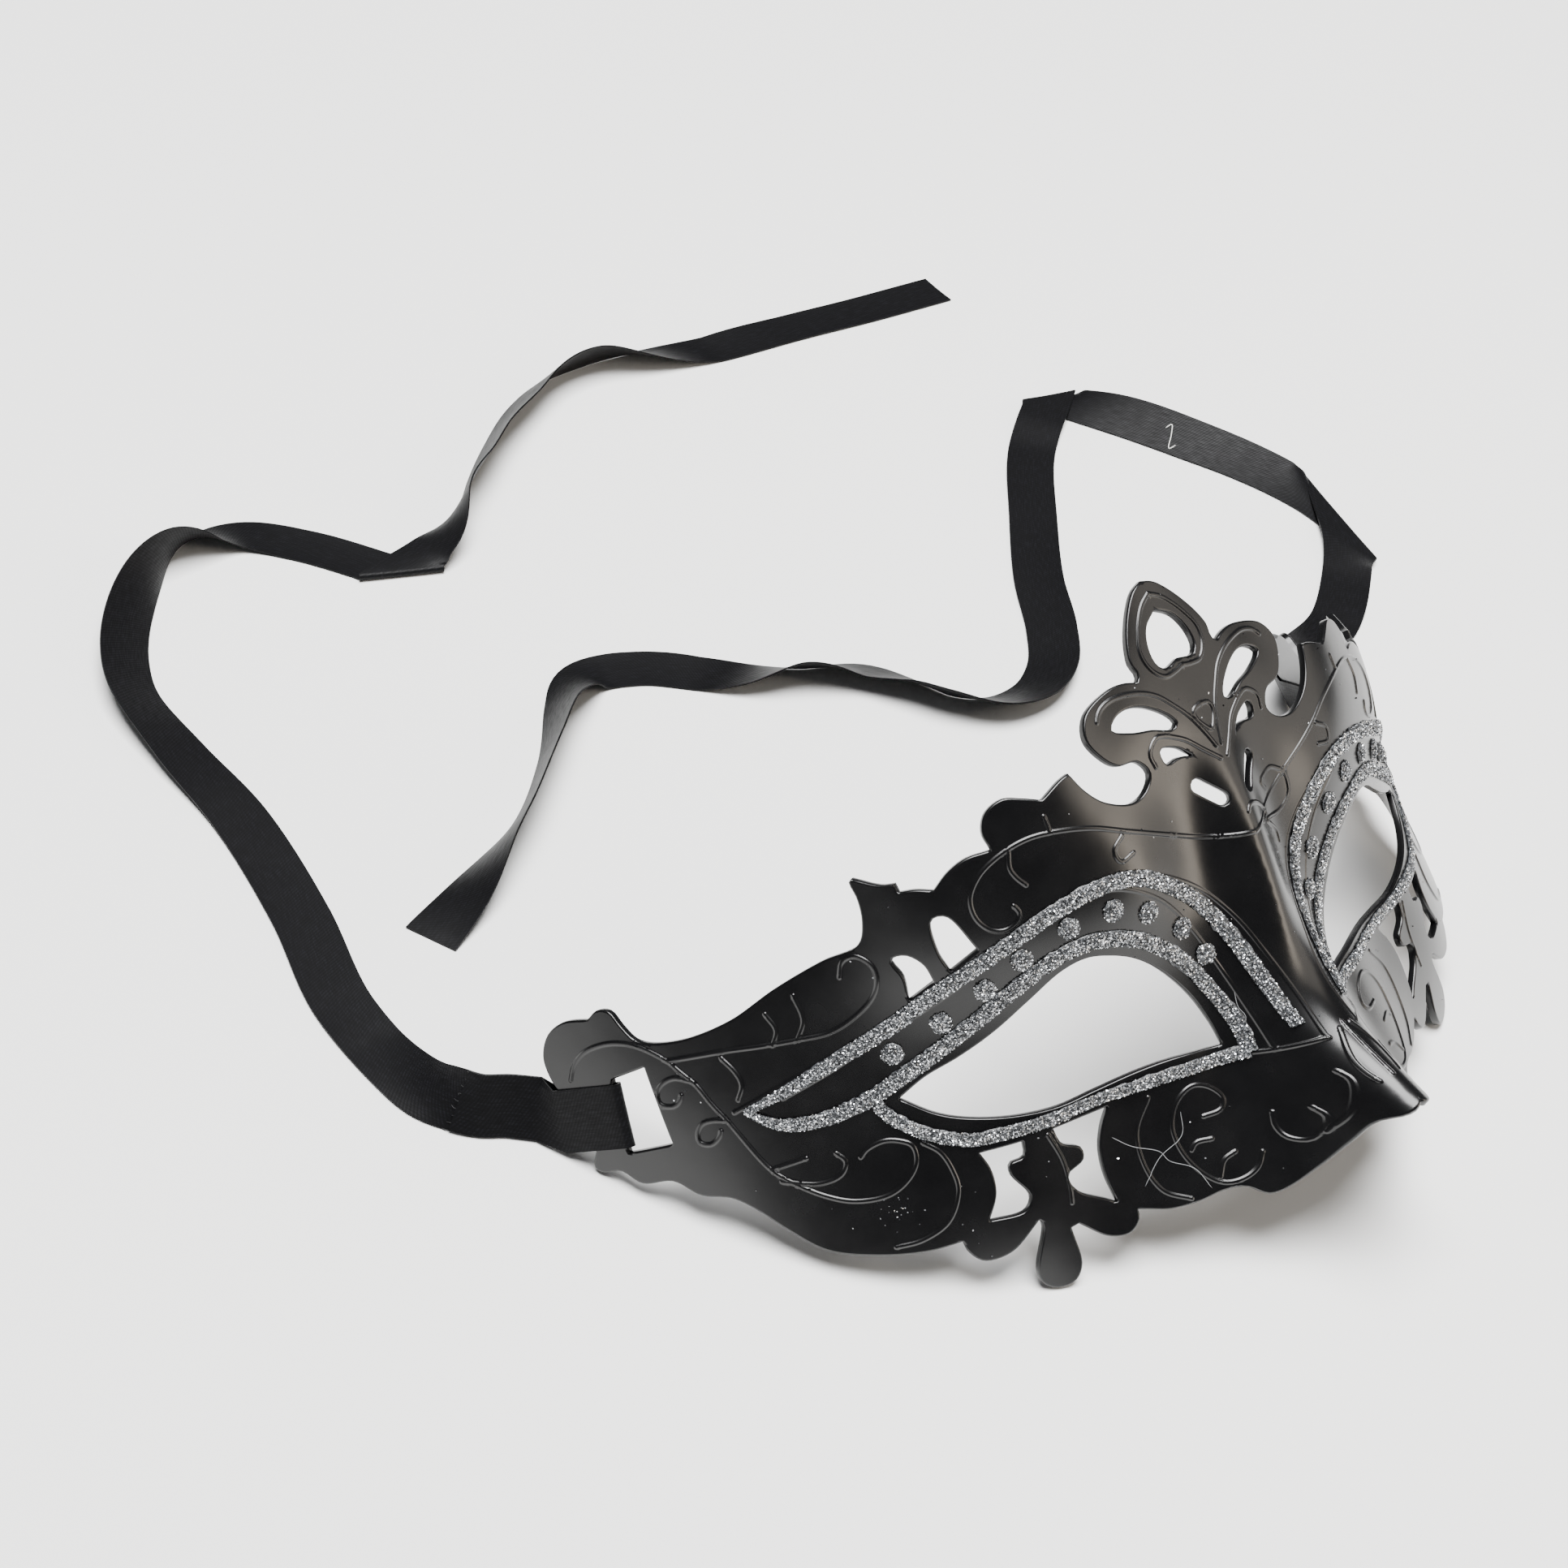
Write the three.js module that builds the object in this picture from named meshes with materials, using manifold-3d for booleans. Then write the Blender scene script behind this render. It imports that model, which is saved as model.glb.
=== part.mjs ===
// Party half mask: one moulded plastic shell with pierced scrollwork, glitter trim stuck on it and a
// satin ribbon tied through the slot at each end. It stands leaning back on a table, on its two lowest
// scrolls and the ends of its wings, as it rests by itself.
//
// The shell is drawn flat first, as a moulder's pattern: x is the length along the face measured round
// its curve, y is the height, and z is the height above the outer surface. wrap() then bends every
// point of the flat pattern round the face. All lengths are millimetres.
import * as THREE from 'three';
import { mergeVertices } from 'three/addons/utils/BufferGeometryUtils.js';
import Module from 'manifold-3d';

const wasm = await Module();
wasm.setup();

// Shell: how far its landmarks lie from the brow point, measured along the surface
const EYE_INNER = 14.5;
const EYE_OUTER = 66.6;
const WING_TIP = 122;
const CROWN_RISE = 38.9;
const EYE_FLOOR = 30;
const TOE_DROP = 57.2;

// Shell: plan curve of the face, depth of its modelling, wall and the way it leans back
const FRONT_RADIUS = 80;
const TEMPLE_RADIUS = 350;
const FRONT_ARC = 70;
const TEMPLE_ARC = 96;
const FACE_DEPTH = 17.4;
const WALL = 1.2;
const LEAN_BACK = 34;

// Raised lines, narrow slit and mesh of the shell
const RIDGE_HEIGHT = 0.7;
const RIDGE_WIDTH = 1.4;
const RIDGE_CREST = 0.4;
const RIDGE_SINK = 0.4;
const SLIT_WIDTH = 2.1;
const SLIT_TURNS = 4;
const EDGE_STEP = 2.7;
const RIDGE_STEP = 4.2;
const MARGIN = 3;
const NOSE_STEP = 3.8;
const WING_STEP = 7.5;
const HEIGHT_STEP = 5.2;

// Ribbon and the slot that it passes through
const RIBBON_WIDTH = 10;
const RIBBON_THICK = 1;
const SLOT_WIDTH = 7;
const SLOT_PLAY = 0.75;
const SLOT_SKEW = 0.9;
const SLOT_RISE = 1.2;
const CLEARANCE = 0.3;
const RIBBON_STEP = 6;
const LOOP_TURNS = 4;
const LENGTH_STEPS = 40;

// Fold of the ribbon: gap between its layers, and the stretches where the upper leg comes down again
const FOLD_GAP = 0.4;
const FOLD_FADE = 2;
const FOLD_CLEAR = 9;
const FOLD_RAMP = 12;
const FOLD_TURNS = 4;

// Glitter: raised bands round the eye and a row of dots above it
const BAND_WIDTH = 2.7;
const GLITTER_THICK = 0.5;
const GLITTER_SEAT = 0.35;
const BAND_STEP = 3;
const DOT_DIAMETER = 3.4;
const DOT_HEIGHT = 0.8;
const DOT_SIDES = 8;

// Places on the flat pattern are given in zones between landmarks.
// across: 0 middle of the face, 1 inner eye corner, 2 outer eye corner, 3 end of the wing
// up: 1 top of the crown, 0 brow point, -1 lower edge of the eye, -2 tips of the lowest scrolls
const ACROSS_STOPS = [0, EYE_INNER, EYE_OUTER, WING_TIP];
const UP_STOPS = [-TOE_DROP, -EYE_FLOOR, 0, CROWN_RISE];

function zone(stops, place) {
  const i = Math.min(Math.max(Math.floor(place), 0), stops.length - 2);
  return stops[i] + (place - i) * (stops[i + 1] - stops[i]);
}
const across = (place) => zone(ACROSS_STOPS, place);
const up = (place) => zone(UP_STOPS, place + 2);
const flat = (row) => new THREE.Vector2(across(row[0]), up(row[1]));

// Set-back of the face towards the head, in shares of FACE_DEPTH: a row for each height, a column
// for each place across, the same on both sides. The nose stands out, the eye beds lie back.
const SECTION_ACROSS = [0, 0.39, 0.84, 1.12, 1.32, 1.52, 1.76, 2.05, 2.43, 3];
const SECTIONS = [
  { up: -2.0, back: [-1.80, -1.10, -0.40, -0.13, 0.05, 0.12, 0.05, -0.20, -0.45, -0.45] },
  { up: -1.43, back: [-0.91, -0.52, -0.04, 0.13, 0.22, 0.18, -0.01, -0.19, -0.35, -0.35] },
  { up: -0.93, back: [-0.23, -0.12, 0.18, 0.26, 0.29, 0.21, 0.06, -0.06, -0.25, -0.25] },
  { up: -0.43, back: [-0.07, 0.09, 0.19, 0.18, 0.13, 0.10, 0.05, 0.02, -0.13, -0.13] },
  { up: 0, back: [0, 0.13, 0.17, 0.05, -0.02, -0.04, -0.04, 0.07, 0.02, 0.02] },
  { up: 0.4, back: [0.18, 0.20, 0.19, 0.14, 0.03, 0.01, 0.03, 0.22, 0.22, 0.22] },
  { up: 1.03, back: [0.54, 0.56, 0.59, 0.50, 0.36, 0.30, 0.33, 0.40, 0.50, 0.50] },
];

// Outer edge of the right half, clockwise from the tip of the crown to the tip of the nose.
// Columns: across, up, corner (1 where the edge turns sharply)
const CROWN_EDGE = [
  [0, 1.0, 1], [0.17, 0.98, 0], [0.34, 0.93, 0], [0.51, 0.855, 0], [0.61, 0.79, 0], [0.65, 0.74, 0],
  [0.62, 0.69, 0], [0.665, 0.67, 1], [0.86, 0.69, 0], [1.02, 0.69, 0], [1.13, 0.64, 0],
  [1.16, 0.56, 0], [1.13, 0.47, 0], [1.09, 0.42, 0], [1.02, 0.4, 0], [0.97, 0.34, 0], [1.02, 0.29, 0],
  [1.08, 0.27, 0], [1.17, 0.32, 0], [1.22, 0.39, 0], [1.255, 0.48, 1], [1.29, 0.47, 0],
  [1.36, 0.43, 1], [1.41, 0.46, 0], [1.47, 0.485, 0], [1.53, 0.455, 0], [1.555, 0.39, 0],
  [1.545, 0.32, 1], [1.62, 0.32, 0], [1.68, 0.29, 0], [1.73, 0.24, 1],
];
const SPIKE_EDGE = [
  [1.78, 0.26, 0], [1.825, 0.265, 1], [1.83, 0.3, 1], [1.87, 0.305, 0], [1.95, 0.35, 1],
  [1.96, 0.34, 0], [1.95, 0.27, 0], [1.955, 0.18, 0], [1.985, 0.1, 0],
];
const WING_EDGE = [
  [2.1, 0.065, 0], [2.25, 0, 0], [2.4, -0.11, 0], [2.565, -0.16, 0], [2.68, -0.13, 0], [2.72, -0.05, 0],
  [2.75, 0.025, 0], [2.79, 0.035, 0], [2.825, 0.005, 1], [2.91, 0.005, 0], [2.97, -0.05, 0],
  [3, -0.16, 0], [2.99, -0.275, 0], [2.955, -0.4, 0], [2.893, -0.665, 1], [2.913, -0.75, 0],
  [2.89, -0.785, 0], [2.83, -0.785, 0], [2.77, -0.86, 0], [2.67, -0.867, 0], [2.6, -0.955, 0],
  [2.51, -0.995, 0], [2.45, -1.08, 0],
];
const LOBE_EDGE = [
  [2.38, -1.22, 0], [2.29, -1.375, 0], [2.16, -1.467, 0], [2.03, -1.517, 0], [1.94, -1.52, 1],
];
const PALMETTE_EDGE = [
  [1.935, -1.58, 0], [1.9, -1.67, 0], [1.82, -1.68, 0], [1.716, -1.56, 1], [1.71, -1.6, 0],
  [1.765, -1.85, 0], [1.76, -1.935, 0], [1.72, -1.995, 0], [1.665, -1.99, 0], [1.632, -1.91, 0],
  [1.631, -1.68, 1], [1.608, -1.675, 1], [1.53, -1.815, 0], [1.465, -1.84, 0], [1.425, -1.78, 0],
  [1.42, -1.73, 1],
];
const CHEEK_EDGE = [
  [1.385, -1.755, 0], [1.33, -1.79, 0], [1.245, -1.8, 0], [1.16, -1.785, 0], [1.1, -1.81, 0],
  [1.05, -1.885, 0], [0.97, -1.875, 0], [0.7, -1.795, 0], [0.49, -1.695, 0], [0.31, -1.6, 0],
  [0.17, -1.585, 0], [0, -1.545, 1],
];
const OUTER_EDGE = [
  ...CROWN_EDGE, ...SPIKE_EDGE, ...WING_EDGE, ...LOBE_EDGE, ...PALMETTE_EDGE, ...CHEEK_EDGE,
];

// Openings of the right half, each a closed edge. Columns: across, up, corner
const OPENINGS = {
  eye: [
    [1, -1.045, 1], [1.19, -1, 0], [1.43, -1, 0], [1.57, -0.995, 0], [1.76, -0.92, 0], [1.9, -0.82, 0],
    [2, -0.687, 1], [1.91, -0.615, 0], [1.8, -0.565, 0], [1.68, -0.495, 0], [1.56, -0.4, 0],
    [1.445, -0.31, 0], [1.365, -0.293, 0], [1.29, -0.333, 0], [1.205, -0.417, 0], [1.12, -0.56, 0],
    [1.045, -0.75, 0], [1.01, -0.92, 0],
  ],
  crown_lobe: [
    [1.06, 0.55, 0], [1.03, 0.585, 0], [0.92, 0.595, 0], [0.7, 0.57, 0], [0.455, 0.503, 0],
    [0.4, 0.465, 0], [0.475, 0.452, 0], [0.73, 0.485, 0], [1.0, 0.51, 0],
  ],
  crown_wedge: [
    [0.73, 0.4, 0], [0.51, 0.378, 0], [0.36, 0.327, 1], [0.53, 0.342, 0], [0.71, 0.34, 0],
  ],
  brow_inner: [
    [1.76, 0.13, 0], [1.72, 0.13, 0], [1.661, -0.043, 1], [1.75, -0.11, 1], [1.767, 0, 0],
  ],
  brow_outer: [
    [1.903, 0.016, 0], [1.86, 0.02, 0], [1.82, -0.04, 0], [1.805, -0.142, 1], [1.888, -0.203, 1],
    [1.883, -0.08, 0],
  ],
  palmette_outer: [
    [1.695, -1.1, 1], [1.823, -1.075, 1], [1.805, -1.18, 0], [1.81, -1.32, 0], [1.851, -1.455, 1],
    [1.745, -1.475, 0], [1.72, -1.41, 0], [1.757, -1.25, 0], [1.75, -1.19, 0], [1.703, -1.18, 0],
  ],
  palmette_inner: [
    [1.412, -1.12, 1], [1.596, -1.105, 1], [1.584, -1.2, 0], [1.53, -1.27, 0], [1.534, -1.34, 0],
    [1.595, -1.39, 0], [1.578, -1.495, 0], [1.5, -1.607, 0], [1.476, -1.642, 1], [1.486, -1.473, 0],
    [1.477, -1.326, 0], [1.449, -1.21, 0],
  ],
};
// Right half of the opening in the tear-shaped tip of the crown, and the two centres of the round
// ends of the slit below it
const TEAR_OPENING = [
  [0, 0.88, 1], [0.22, 0.834, 0], [0.32, 0.765, 0], [0.32, 0.7, 0], [0.24, 0.67, 0], [0, 0.682, 1],
];
const SLIT_ENDS = [[0.425, 0.21], [0.21, 0.125]];
// Places of the slot: its inner edge and its middle height, and where the ribbon leaves the wing
const SLOT_PLACES = { inner: 2.66, middle: -0.5, leave: 2.985 };

// Raised lines of the right half. Columns: across, up
const RIDGES = {
  brow: [
    [0, -0.055], [0.24, -0.03], [0.58, 0.02], [1.01, 0.1], [1.13, 0.18], [1.25, 0.26], [1.37, 0.305],
    [1.45, 0.312], [1.54, 0.284], [1.6, 0.24], [1.637, 0.13], [1.61, 0.045], [1.57, 0.025],
    [1.534, 0.045], [1.528, 0.094],
  ],
  crown_outer: [
    [0.06, 0.27], [0.21, 0.33], [0.5, 0.425], [0.73, 0.445], [0.86, 0.425], [0.88, 0.36],
  ],
  crown_inner: [
    [0.05, 0.32], [0.11, 0.39], [0.22, 0.47], [0.35, 0.535], [0.51, 0.586], [0.72, 0.626],
    [0.97, 0.653], [1.06, 0.645], [1.105, 0.6],
  ],
  leaf: [[0.03, -1.11], [0.13, -1.18], [0.185, -1.3], [0.12, -1.4]],
  wing: [
    [2.6, -0.25], [2.42, -0.255], [2.21, -0.275], [2.13, -0.272], [2.06, -0.232], [1.99, -0.154],
    [1.963, -0.04], [1.997, 0.045], [2.035, 0.04], [2.06, 0],
  ],
  strap: [
    [2.915, -0.265], [2.9, -0.21], [2.86, -0.157], [2.8, -0.128], [2.68, -0.16], [2.6, -0.25],
    [2.535, -0.385], [2.463, -0.61], [2.38, -0.88], [2.33, -0.97], [2.25, -1.083], [2.176, -1.14],
    [2.09, -1.147], [2.03, -1.093], [1.997, -0.98], [2.03, -0.895], [2.1, -0.88],
  ],
  lobe: [[2.11, -1.43], [2.04, -1.43], [1.965, -1.38], [1.913, -1.23], [1.907, -1.115], [1.925, -1.04]],
  cheek_arc: [[1.28, -1.16], [1.347, -1.323], [1.36, -1.515], [1.327, -1.67], [1.27, -1.75]],
  cheek_scroll: [
    [1.142, -1.37], [1.083, -1.367], [1.063, -1.3], [1.1, -1.215], [1.16, -1.2], [1.22, -1.28],
    [1.24, -1.43], [1.21, -1.636], [1.16, -1.735], [1.1, -1.755], [1.047, -1.73], [1.025, -1.655],
  ],
  nose_curl: [[0.84, -1.473], [0.874, -1.546], [0.8, -1.63], [0.67, -1.645], [0.56, -1.58]],
  nose_side: [[0.57, -1.62], [0.425, -1.55], [0.317, -1.447], [0.281, -1.37]],
  palmette: [[1.617, -1.125], [1.6, -1.28], [1.596, -1.42], [1.613, -1.54]],
};
// Raised lines on the middle of the face. The first two are the right halves of closed rings.
const TEAR_RING = [[0, 0.935], [0.29, 0.875], [0.46, 0.775], [0.46, 0.7], [0.3, 0.643], [0, 0.638]];
const DROP_RING = [[0, 0.5], [0.12, 0.475], [0.1, 0.435], [0, 0.39]];
const LEAF_RIB = [[0, -1.09], [0, -1.4]];

// Glitter bands of the right half. Columns: across, up, width in shares of BAND_WIDTH
const GLITTER_BANDS = {
  brow: [
    [2.41, -0.57, 0.4], [2.25, -0.485, 0.7], [2.11, -0.4, 0.9], [1.96, -0.31, 1], [1.81, -0.2, 1],
    [1.55, -0.05, 1], [1.42, 0.013, 1], [1.29, 0.035, 1], [1.165, 0.01, 1], [1.04, -0.13, 1],
    [0.78, -0.31, 1], [0.545, -0.545, 1], [0.43, -0.806, 0.9], [0.36, -1.04, 0.7],
  ],
  lid: [
    [2.4, -0.575, 0.4], [2.33, -0.66, 0.8], [2.24, -0.687, 0.9], [2.1, -0.657, 1], [2, -0.597, 1],
    [1.73, -0.41, 1], [1.59, -0.305, 1], [1.455, -0.225, 1], [1.35, -0.21, 1], [1.247, -0.26, 1],
    [1.14, -0.377, 1], [1.042, -0.56, 1], [0.88, -0.806, 1], [0.78, -0.987, 0.9], [0.78, -1.12, 0.8],
  ],
  lower: [
    [2.06, -0.68, 0.8], [2.04, -0.75, 0.8], [1.99, -0.84, 0.8], [1.93, -0.913, 0.8], [1.84, -0.985, 0.8],
    [1.71, -1.02, 0.8], [1.58, -1.045, 0.7], [1.45, -1.05, 0.7], [1.31, -1.07, 0.8],
    [1.17, -1.085, 0.8], [1.03, -1.11, 0.8], [0.78, -1.12, 0.8],
  ],
};
const DOTS = [
  [0.89, -0.557], [1.03, -0.37], [1.14, -0.197], [1.254, -0.1], [1.396, -0.096], [1.55, -0.168],
  [1.673, -0.26], [1.82, -0.36], [1.98, -0.45],
];

// Ribbon routes over the table, from the wing to the cut end: x and y of the middle of the ribbon and
// its roll in degrees, 0 lying flat, positive with the left edge raised and 180 turned over. A leg
// ends where the ribbon folds over, on top of the leg before (over 1) or under it (over -1).
const RIBBON_LEFT = [
  {
    over: 0,
    route: [
      [-89.8, 46.8, -56], [-93.2, 50, -60], [-97, 53, -60], [-99.7, 60, -34], [-100, 69, -8],
      [-98.5, 87, 0], [-92, 108, 0], [-86.5, 134, 2], [-85.5, 154, 14], [-83.7, 171.5, 27],
      [-80, 180.5, 32], [-74.5, 188.5, 40], [-67.5, 195.5, 54], [-61, 199.8, 78], [-54.5, 202.6, 112],
      [-46.5, 204, 156], [-39.5, 202, 174], [-32, 193.5, 180], [-22, 175, 180],
    ],
  },
  {
    over: 1,
    route: [
      [-22, 175, 0], [-11, 177.5, -20], [-2, 183, -66], [9, 191, -62], [20, 199, -55], [32, 206, -45],
      [43, 210.3, -52], [55, 210.5, -54], [67, 207, -25], [82, 203, 0], [102, 200, 0], [122, 196.5, 0],
      [142.5, 193.5, 0],
    ],
  },
];
const RIBBON_RIGHT = [
  {
    over: 0,
    route: [
      [89.8, 46.8, 56], [93.8, 49.4, 56], [99.5, 51, 45], [109, 53.5, 18], [121, 57.5, 0],
      [132, 64, 0], [141, 71, 0], [148.5, 79.5, 0],
    ],
  },
  {
    over: -1,
    route: [
      [148.5, 79.5, 0], [148.9, 91, -16], [146.3, 104, -24], [141.5, 117.5, -30], [136.5, 131, -28],
      [130.5, 146.5, 0],
    ],
  },
  {
    over: 1,
    route: [
      [130.5, 146.5, 0], [112, 134, 0], [95, 117, 0], [80, 101, 8], [70, 88, 14], [62, 80, 16], [53, 76, 22],
      [44, 77, 32], [37.5, 83, 44], [34, 91, 36], [29.5, 99, 26], [20, 105.5, 45], [12, 111, 20],
      [5, 118.5, 0], [-3, 126, 0], [-13, 129.5, 5], [-22, 124.5, 40], [-34, 114, 65], [-48, 103.5, 66],
      [-58, 98.5, 50], [-68, 94, 20], [-78, 90.5, 0],
    ],
  },
];

// Natural cubic spline through (xs, ys): its second derivatives are solved once
function naturalSpline(xs, ys) {
  const n = xs.length;
  const bend = new Array(n).fill(0);
  const work = new Array(n).fill(0);
  for (let i = 1; i < n - 1; i++) {
    const share = (xs[i] - xs[i - 1]) / (xs[i + 1] - xs[i - 1]);
    const pivot = share * bend[i - 1] + 2;
    const jump = (ys[i + 1] - ys[i]) / (xs[i + 1] - xs[i]) - (ys[i] - ys[i - 1]) / (xs[i] - xs[i - 1]);
    bend[i] = (share - 1) / pivot;
    work[i] = ((6 * jump) / (xs[i + 1] - xs[i - 1]) - share * work[i - 1]) / pivot;
  }
  bend[n - 1] = 0;
  for (let i = n - 2; i >= 0; i--) bend[i] = bend[i] * bend[i + 1] + work[i];
  return (x) => {
    let i = 0;
    while (i < n - 2 && x > xs[i + 1]) i++;
    const step = xs[i + 1] - xs[i];
    const a = (xs[i + 1] - x) / step;
    const b = (x - xs[i]) / step;
    const curve = (a ** 3 - a) * bend[i] + (b ** 3 - b) * bend[i + 1];
    return a * ys[i] + b * ys[i + 1] + (curve * step * step) / 6;
  };
}

// Set-back of the face at a place on the flat pattern
const sectionPlaces = SECTION_ACROSS.map(across);
const mirroredPlaces = [...sectionPlaces.slice(1).reverse().map((x) => -x), ...sectionPlaces];
const sectionHeights = SECTIONS.map((row) => up(row.up));
const sectionCurves = SECTIONS.map((row) =>
  naturalSpline(mirroredPlaces, [...row.back.slice(1).reverse(), ...row.back]));
const heightCurves = SECTIONS.map((_, i) =>
  naturalSpline(sectionHeights, SECTIONS.map((_row, j) => (i === j ? 1 : 0))));

function setBack(x, y) {
  let sum = 0;
  for (let i = 0; i < SECTIONS.length; i++) sum += heightCurves[i](y) * sectionCurves[i](x);
  return FACE_DEPTH * sum;
}

// Plan curve of the face: a tight bend over the brow that eases into the flatter temples
const PLAN_STEP = 0.5;
const PLAN_LENGTH = 1.4 * WING_TIP;
function bendAt(s) {
  const ease = Math.min(Math.max((s - FRONT_ARC) / (TEMPLE_ARC - FRONT_ARC), 0), 1);
  return (1 - ease) / FRONT_RADIUS + ease / TEMPLE_RADIUS;
}
const plan = [{ x: 0, y: 0, turn: 0 }];
for (let s = 0; s < PLAN_LENGTH; s += PLAN_STEP) {
  const last = plan[plan.length - 1];
  const turn = last.turn + bendAt(s + PLAN_STEP / 2) * PLAN_STEP;
  const mean = (turn + last.turn) / 2;
  plan.push({ x: last.x + Math.cos(mean) * PLAN_STEP, y: last.y + Math.sin(mean) * PLAN_STEP, turn });
}

// Point of the outer surface, before the mask leans back: x right, y into the face, z up
function surface(x, y) {
  const s = Math.abs(x) / PLAN_STEP;
  const i = Math.min(Math.floor(s), plan.length - 2);
  const t = s - i;
  const turn = plan[i].turn + t * (plan[i + 1].turn - plan[i].turn);
  const back = setBack(x, y);
  const planX = plan[i].x + t * (plan[i + 1].x - plan[i].x) - Math.sin(turn) * back;
  const planY = plan[i].y + t * (plan[i + 1].y - plan[i].y) + Math.cos(turn) * back;
  return new THREE.Vector3(Math.sign(x) * planX, planY, y);
}

// Bends a point of the flat pattern round the face. The normal points away from the head.
const PROBE = 0.05;
function outward(x, y) {
  const along = surface(x + PROBE, y).sub(surface(x - PROBE, y));
  const rise = surface(x, y + PROBE).sub(surface(x, y - PROBE));
  return along.cross(rise).normalize();
}
const lean = THREE.MathUtils.degToRad(-LEAN_BACK);
const X_AXIS = new THREE.Vector3(1, 0, 0);
function wrap(x, y, z) {
  return surface(x, y).addScaledVector(outward(x, y), z).applyAxisAngle(X_AXIS, lean);
}

// The flat blank is slightly domed, so that its net of faces stays whole while it is cut
const DOME = 0.0008;
const dome = (x, y) => DOME * (x * x + y * y);

function solidOf(geometry) {
  const bare = new THREE.BufferGeometry();
  bare.setAttribute('position', geometry.getAttribute('position'));
  if (geometry.index) bare.setIndex(geometry.index);
  const merged = mergeVertices(bare, 1e-4);
  return new wasm.Manifold(new wasm.Mesh({
    numProp: 3,
    vertProperties: new Float32Array(merged.getAttribute('position').array),
    triVerts: new Uint32Array(merged.index.array),
  }));
}

// Geometry of a cut solid with each point moved by place()
function geometryOf(solid, place) {
  const mesh = solid.getMesh();
  const points = new Float32Array(mesh.vertProperties.length);
  for (let i = 0; i < points.length; i += 3) {
    const [x, y, z] = mesh.vertProperties.slice(i, i + 3);
    place(x, y, z).toArray(points, i);
  }
  const geometry = new THREE.BufferGeometry();
  geometry.setAttribute('position', new THREE.BufferAttribute(points, 3));
  geometry.setIndex([...mesh.triVerts]);
  return geometry;
}
const bend = (x, y, z) => wrap(x, y, z - dome(x, y));

// Closed solid from rings of points: each ring has the same number, and both ends are capped
function loft(rings, closed = false) {
  const sides = rings[0].length;
  const points = rings.flat().flatMap((p) => [p.x, p.y, p.z]);
  const faces = [];
  const spans = closed ? rings.length : rings.length - 1;
  for (let i = 0; i < spans; i++) {
    const next = (i + 1) % rings.length;
    for (let j = 0; j < sides; j++) {
      const a = i * sides + j;
      const b = i * sides + ((j + 1) % sides);
      const c = next * sides + ((j + 1) % sides);
      const d = next * sides + j;
      faces.push(a, b, c, a, c, d);
    }
  }
  if (!closed) {
    const end = (rings.length - 1) * sides;
    for (let j = 1; j < sides - 1; j++) {
      faces.push(0, j + 1, j);
      faces.push(end, end + j, end + j + 1);
    }
  }
  const geometry = new THREE.BufferGeometry();
  geometry.setAttribute('position', new THREE.Float32BufferAttribute(points, 3));
  geometry.setIndex(faces);
  return geometry;
}

// Edge through table rows: a smooth curve from corner to corner
function smoothEdge(rows, closed) {
  const points = rows.map(flat);
  const corners = rows.map((row, i) => (row[2] ? i : -1)).filter((i) => i >= 0);
  if (closed && corners.length === 0) return sampled([...points, points[0]], true).slice(0, -1);
  const out = [];
  const spans = closed ? corners.length : corners.length - 1;
  for (let k = 0; k < spans; k++) {
    const from = corners[k];
    const to = corners[(k + 1) % corners.length] + (k + 1 >= corners.length ? points.length : 0);
    const run = [];
    for (let i = from; i <= to; i++) run.push(points[i % points.length]);
    out.push(...sampled(run, false).slice(0, -1));
  }
  if (!closed) out.push(points[points.length - 1]);
  return out;
}

const smoothCurve = (points, ring = false) =>
  new THREE.CatmullRomCurve3(points.map((p) => new THREE.Vector3(p.x, p.y, 0)), ring, 'centripetal');

// Points about EDGE_STEP apart on the curve through a run of points, which are kept
function sampled(run, ring) {
  if (run.length === 2) return run;
  const core = ring ? run.slice(0, -1) : run;
  const curve = smoothCurve(core, ring);
  const spans = run.length - 1;
  const out = [];
  for (let i = 0; i < spans; i++) {
    const count = Math.max(1, Math.round(run[i].distanceTo(run[i + 1]) / EDGE_STEP));
    for (let j = 0; j < count; j++) {
      const p = curve.getPoint((i + j / count) / spans);
      out.push(new THREE.Vector2(p.x, p.y));
    }
  }
  out.push(run[run.length - 1]);
  return out;
}

const mirrored = (points) => points.map((p) => new THREE.Vector2(-p.x, p.y)).reverse();

// Slot at the end of the wing: as long as the ribbon is wide, with some play
const slotInner = across(SLOT_PLACES.inner);
const slotOuter = slotInner + SLOT_WIDTH;
const slotMiddle = up(SLOT_PLACES.middle);
const slotHalf = RIBBON_WIDTH / 2 + SLOT_PLAY;
const slotEdge = [
  new THREE.Vector2(slotInner + SLOT_SKEW, slotMiddle + slotHalf + SLOT_RISE),
  new THREE.Vector2(slotInner - SLOT_SKEW, slotMiddle - slotHalf + SLOT_RISE / 2),
  new THREE.Vector2(slotOuter, slotMiddle - slotHalf),
  new THREE.Vector2(slotOuter, slotMiddle + slotHalf),
];

// Slit with round ends
function slitEdge() {
  const [a, b] = SLIT_ENDS.map(flat);
  const side = b.clone().sub(a).angle() + Math.PI / 2;
  const edge = [];
  for (const [centre, from] of [[a, side], [b, side + Math.PI]]) {
    for (let i = 0; i <= SLIT_TURNS; i++) {
      const turn = from + (Math.PI * i) / SLIT_TURNS;
      const reach = new THREE.Vector2(Math.cos(turn), Math.sin(turn)).multiplyScalar(SLIT_WIDTH / 2);
      edge.push(reach.add(centre));
    }
  }
  return edge;
}

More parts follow.
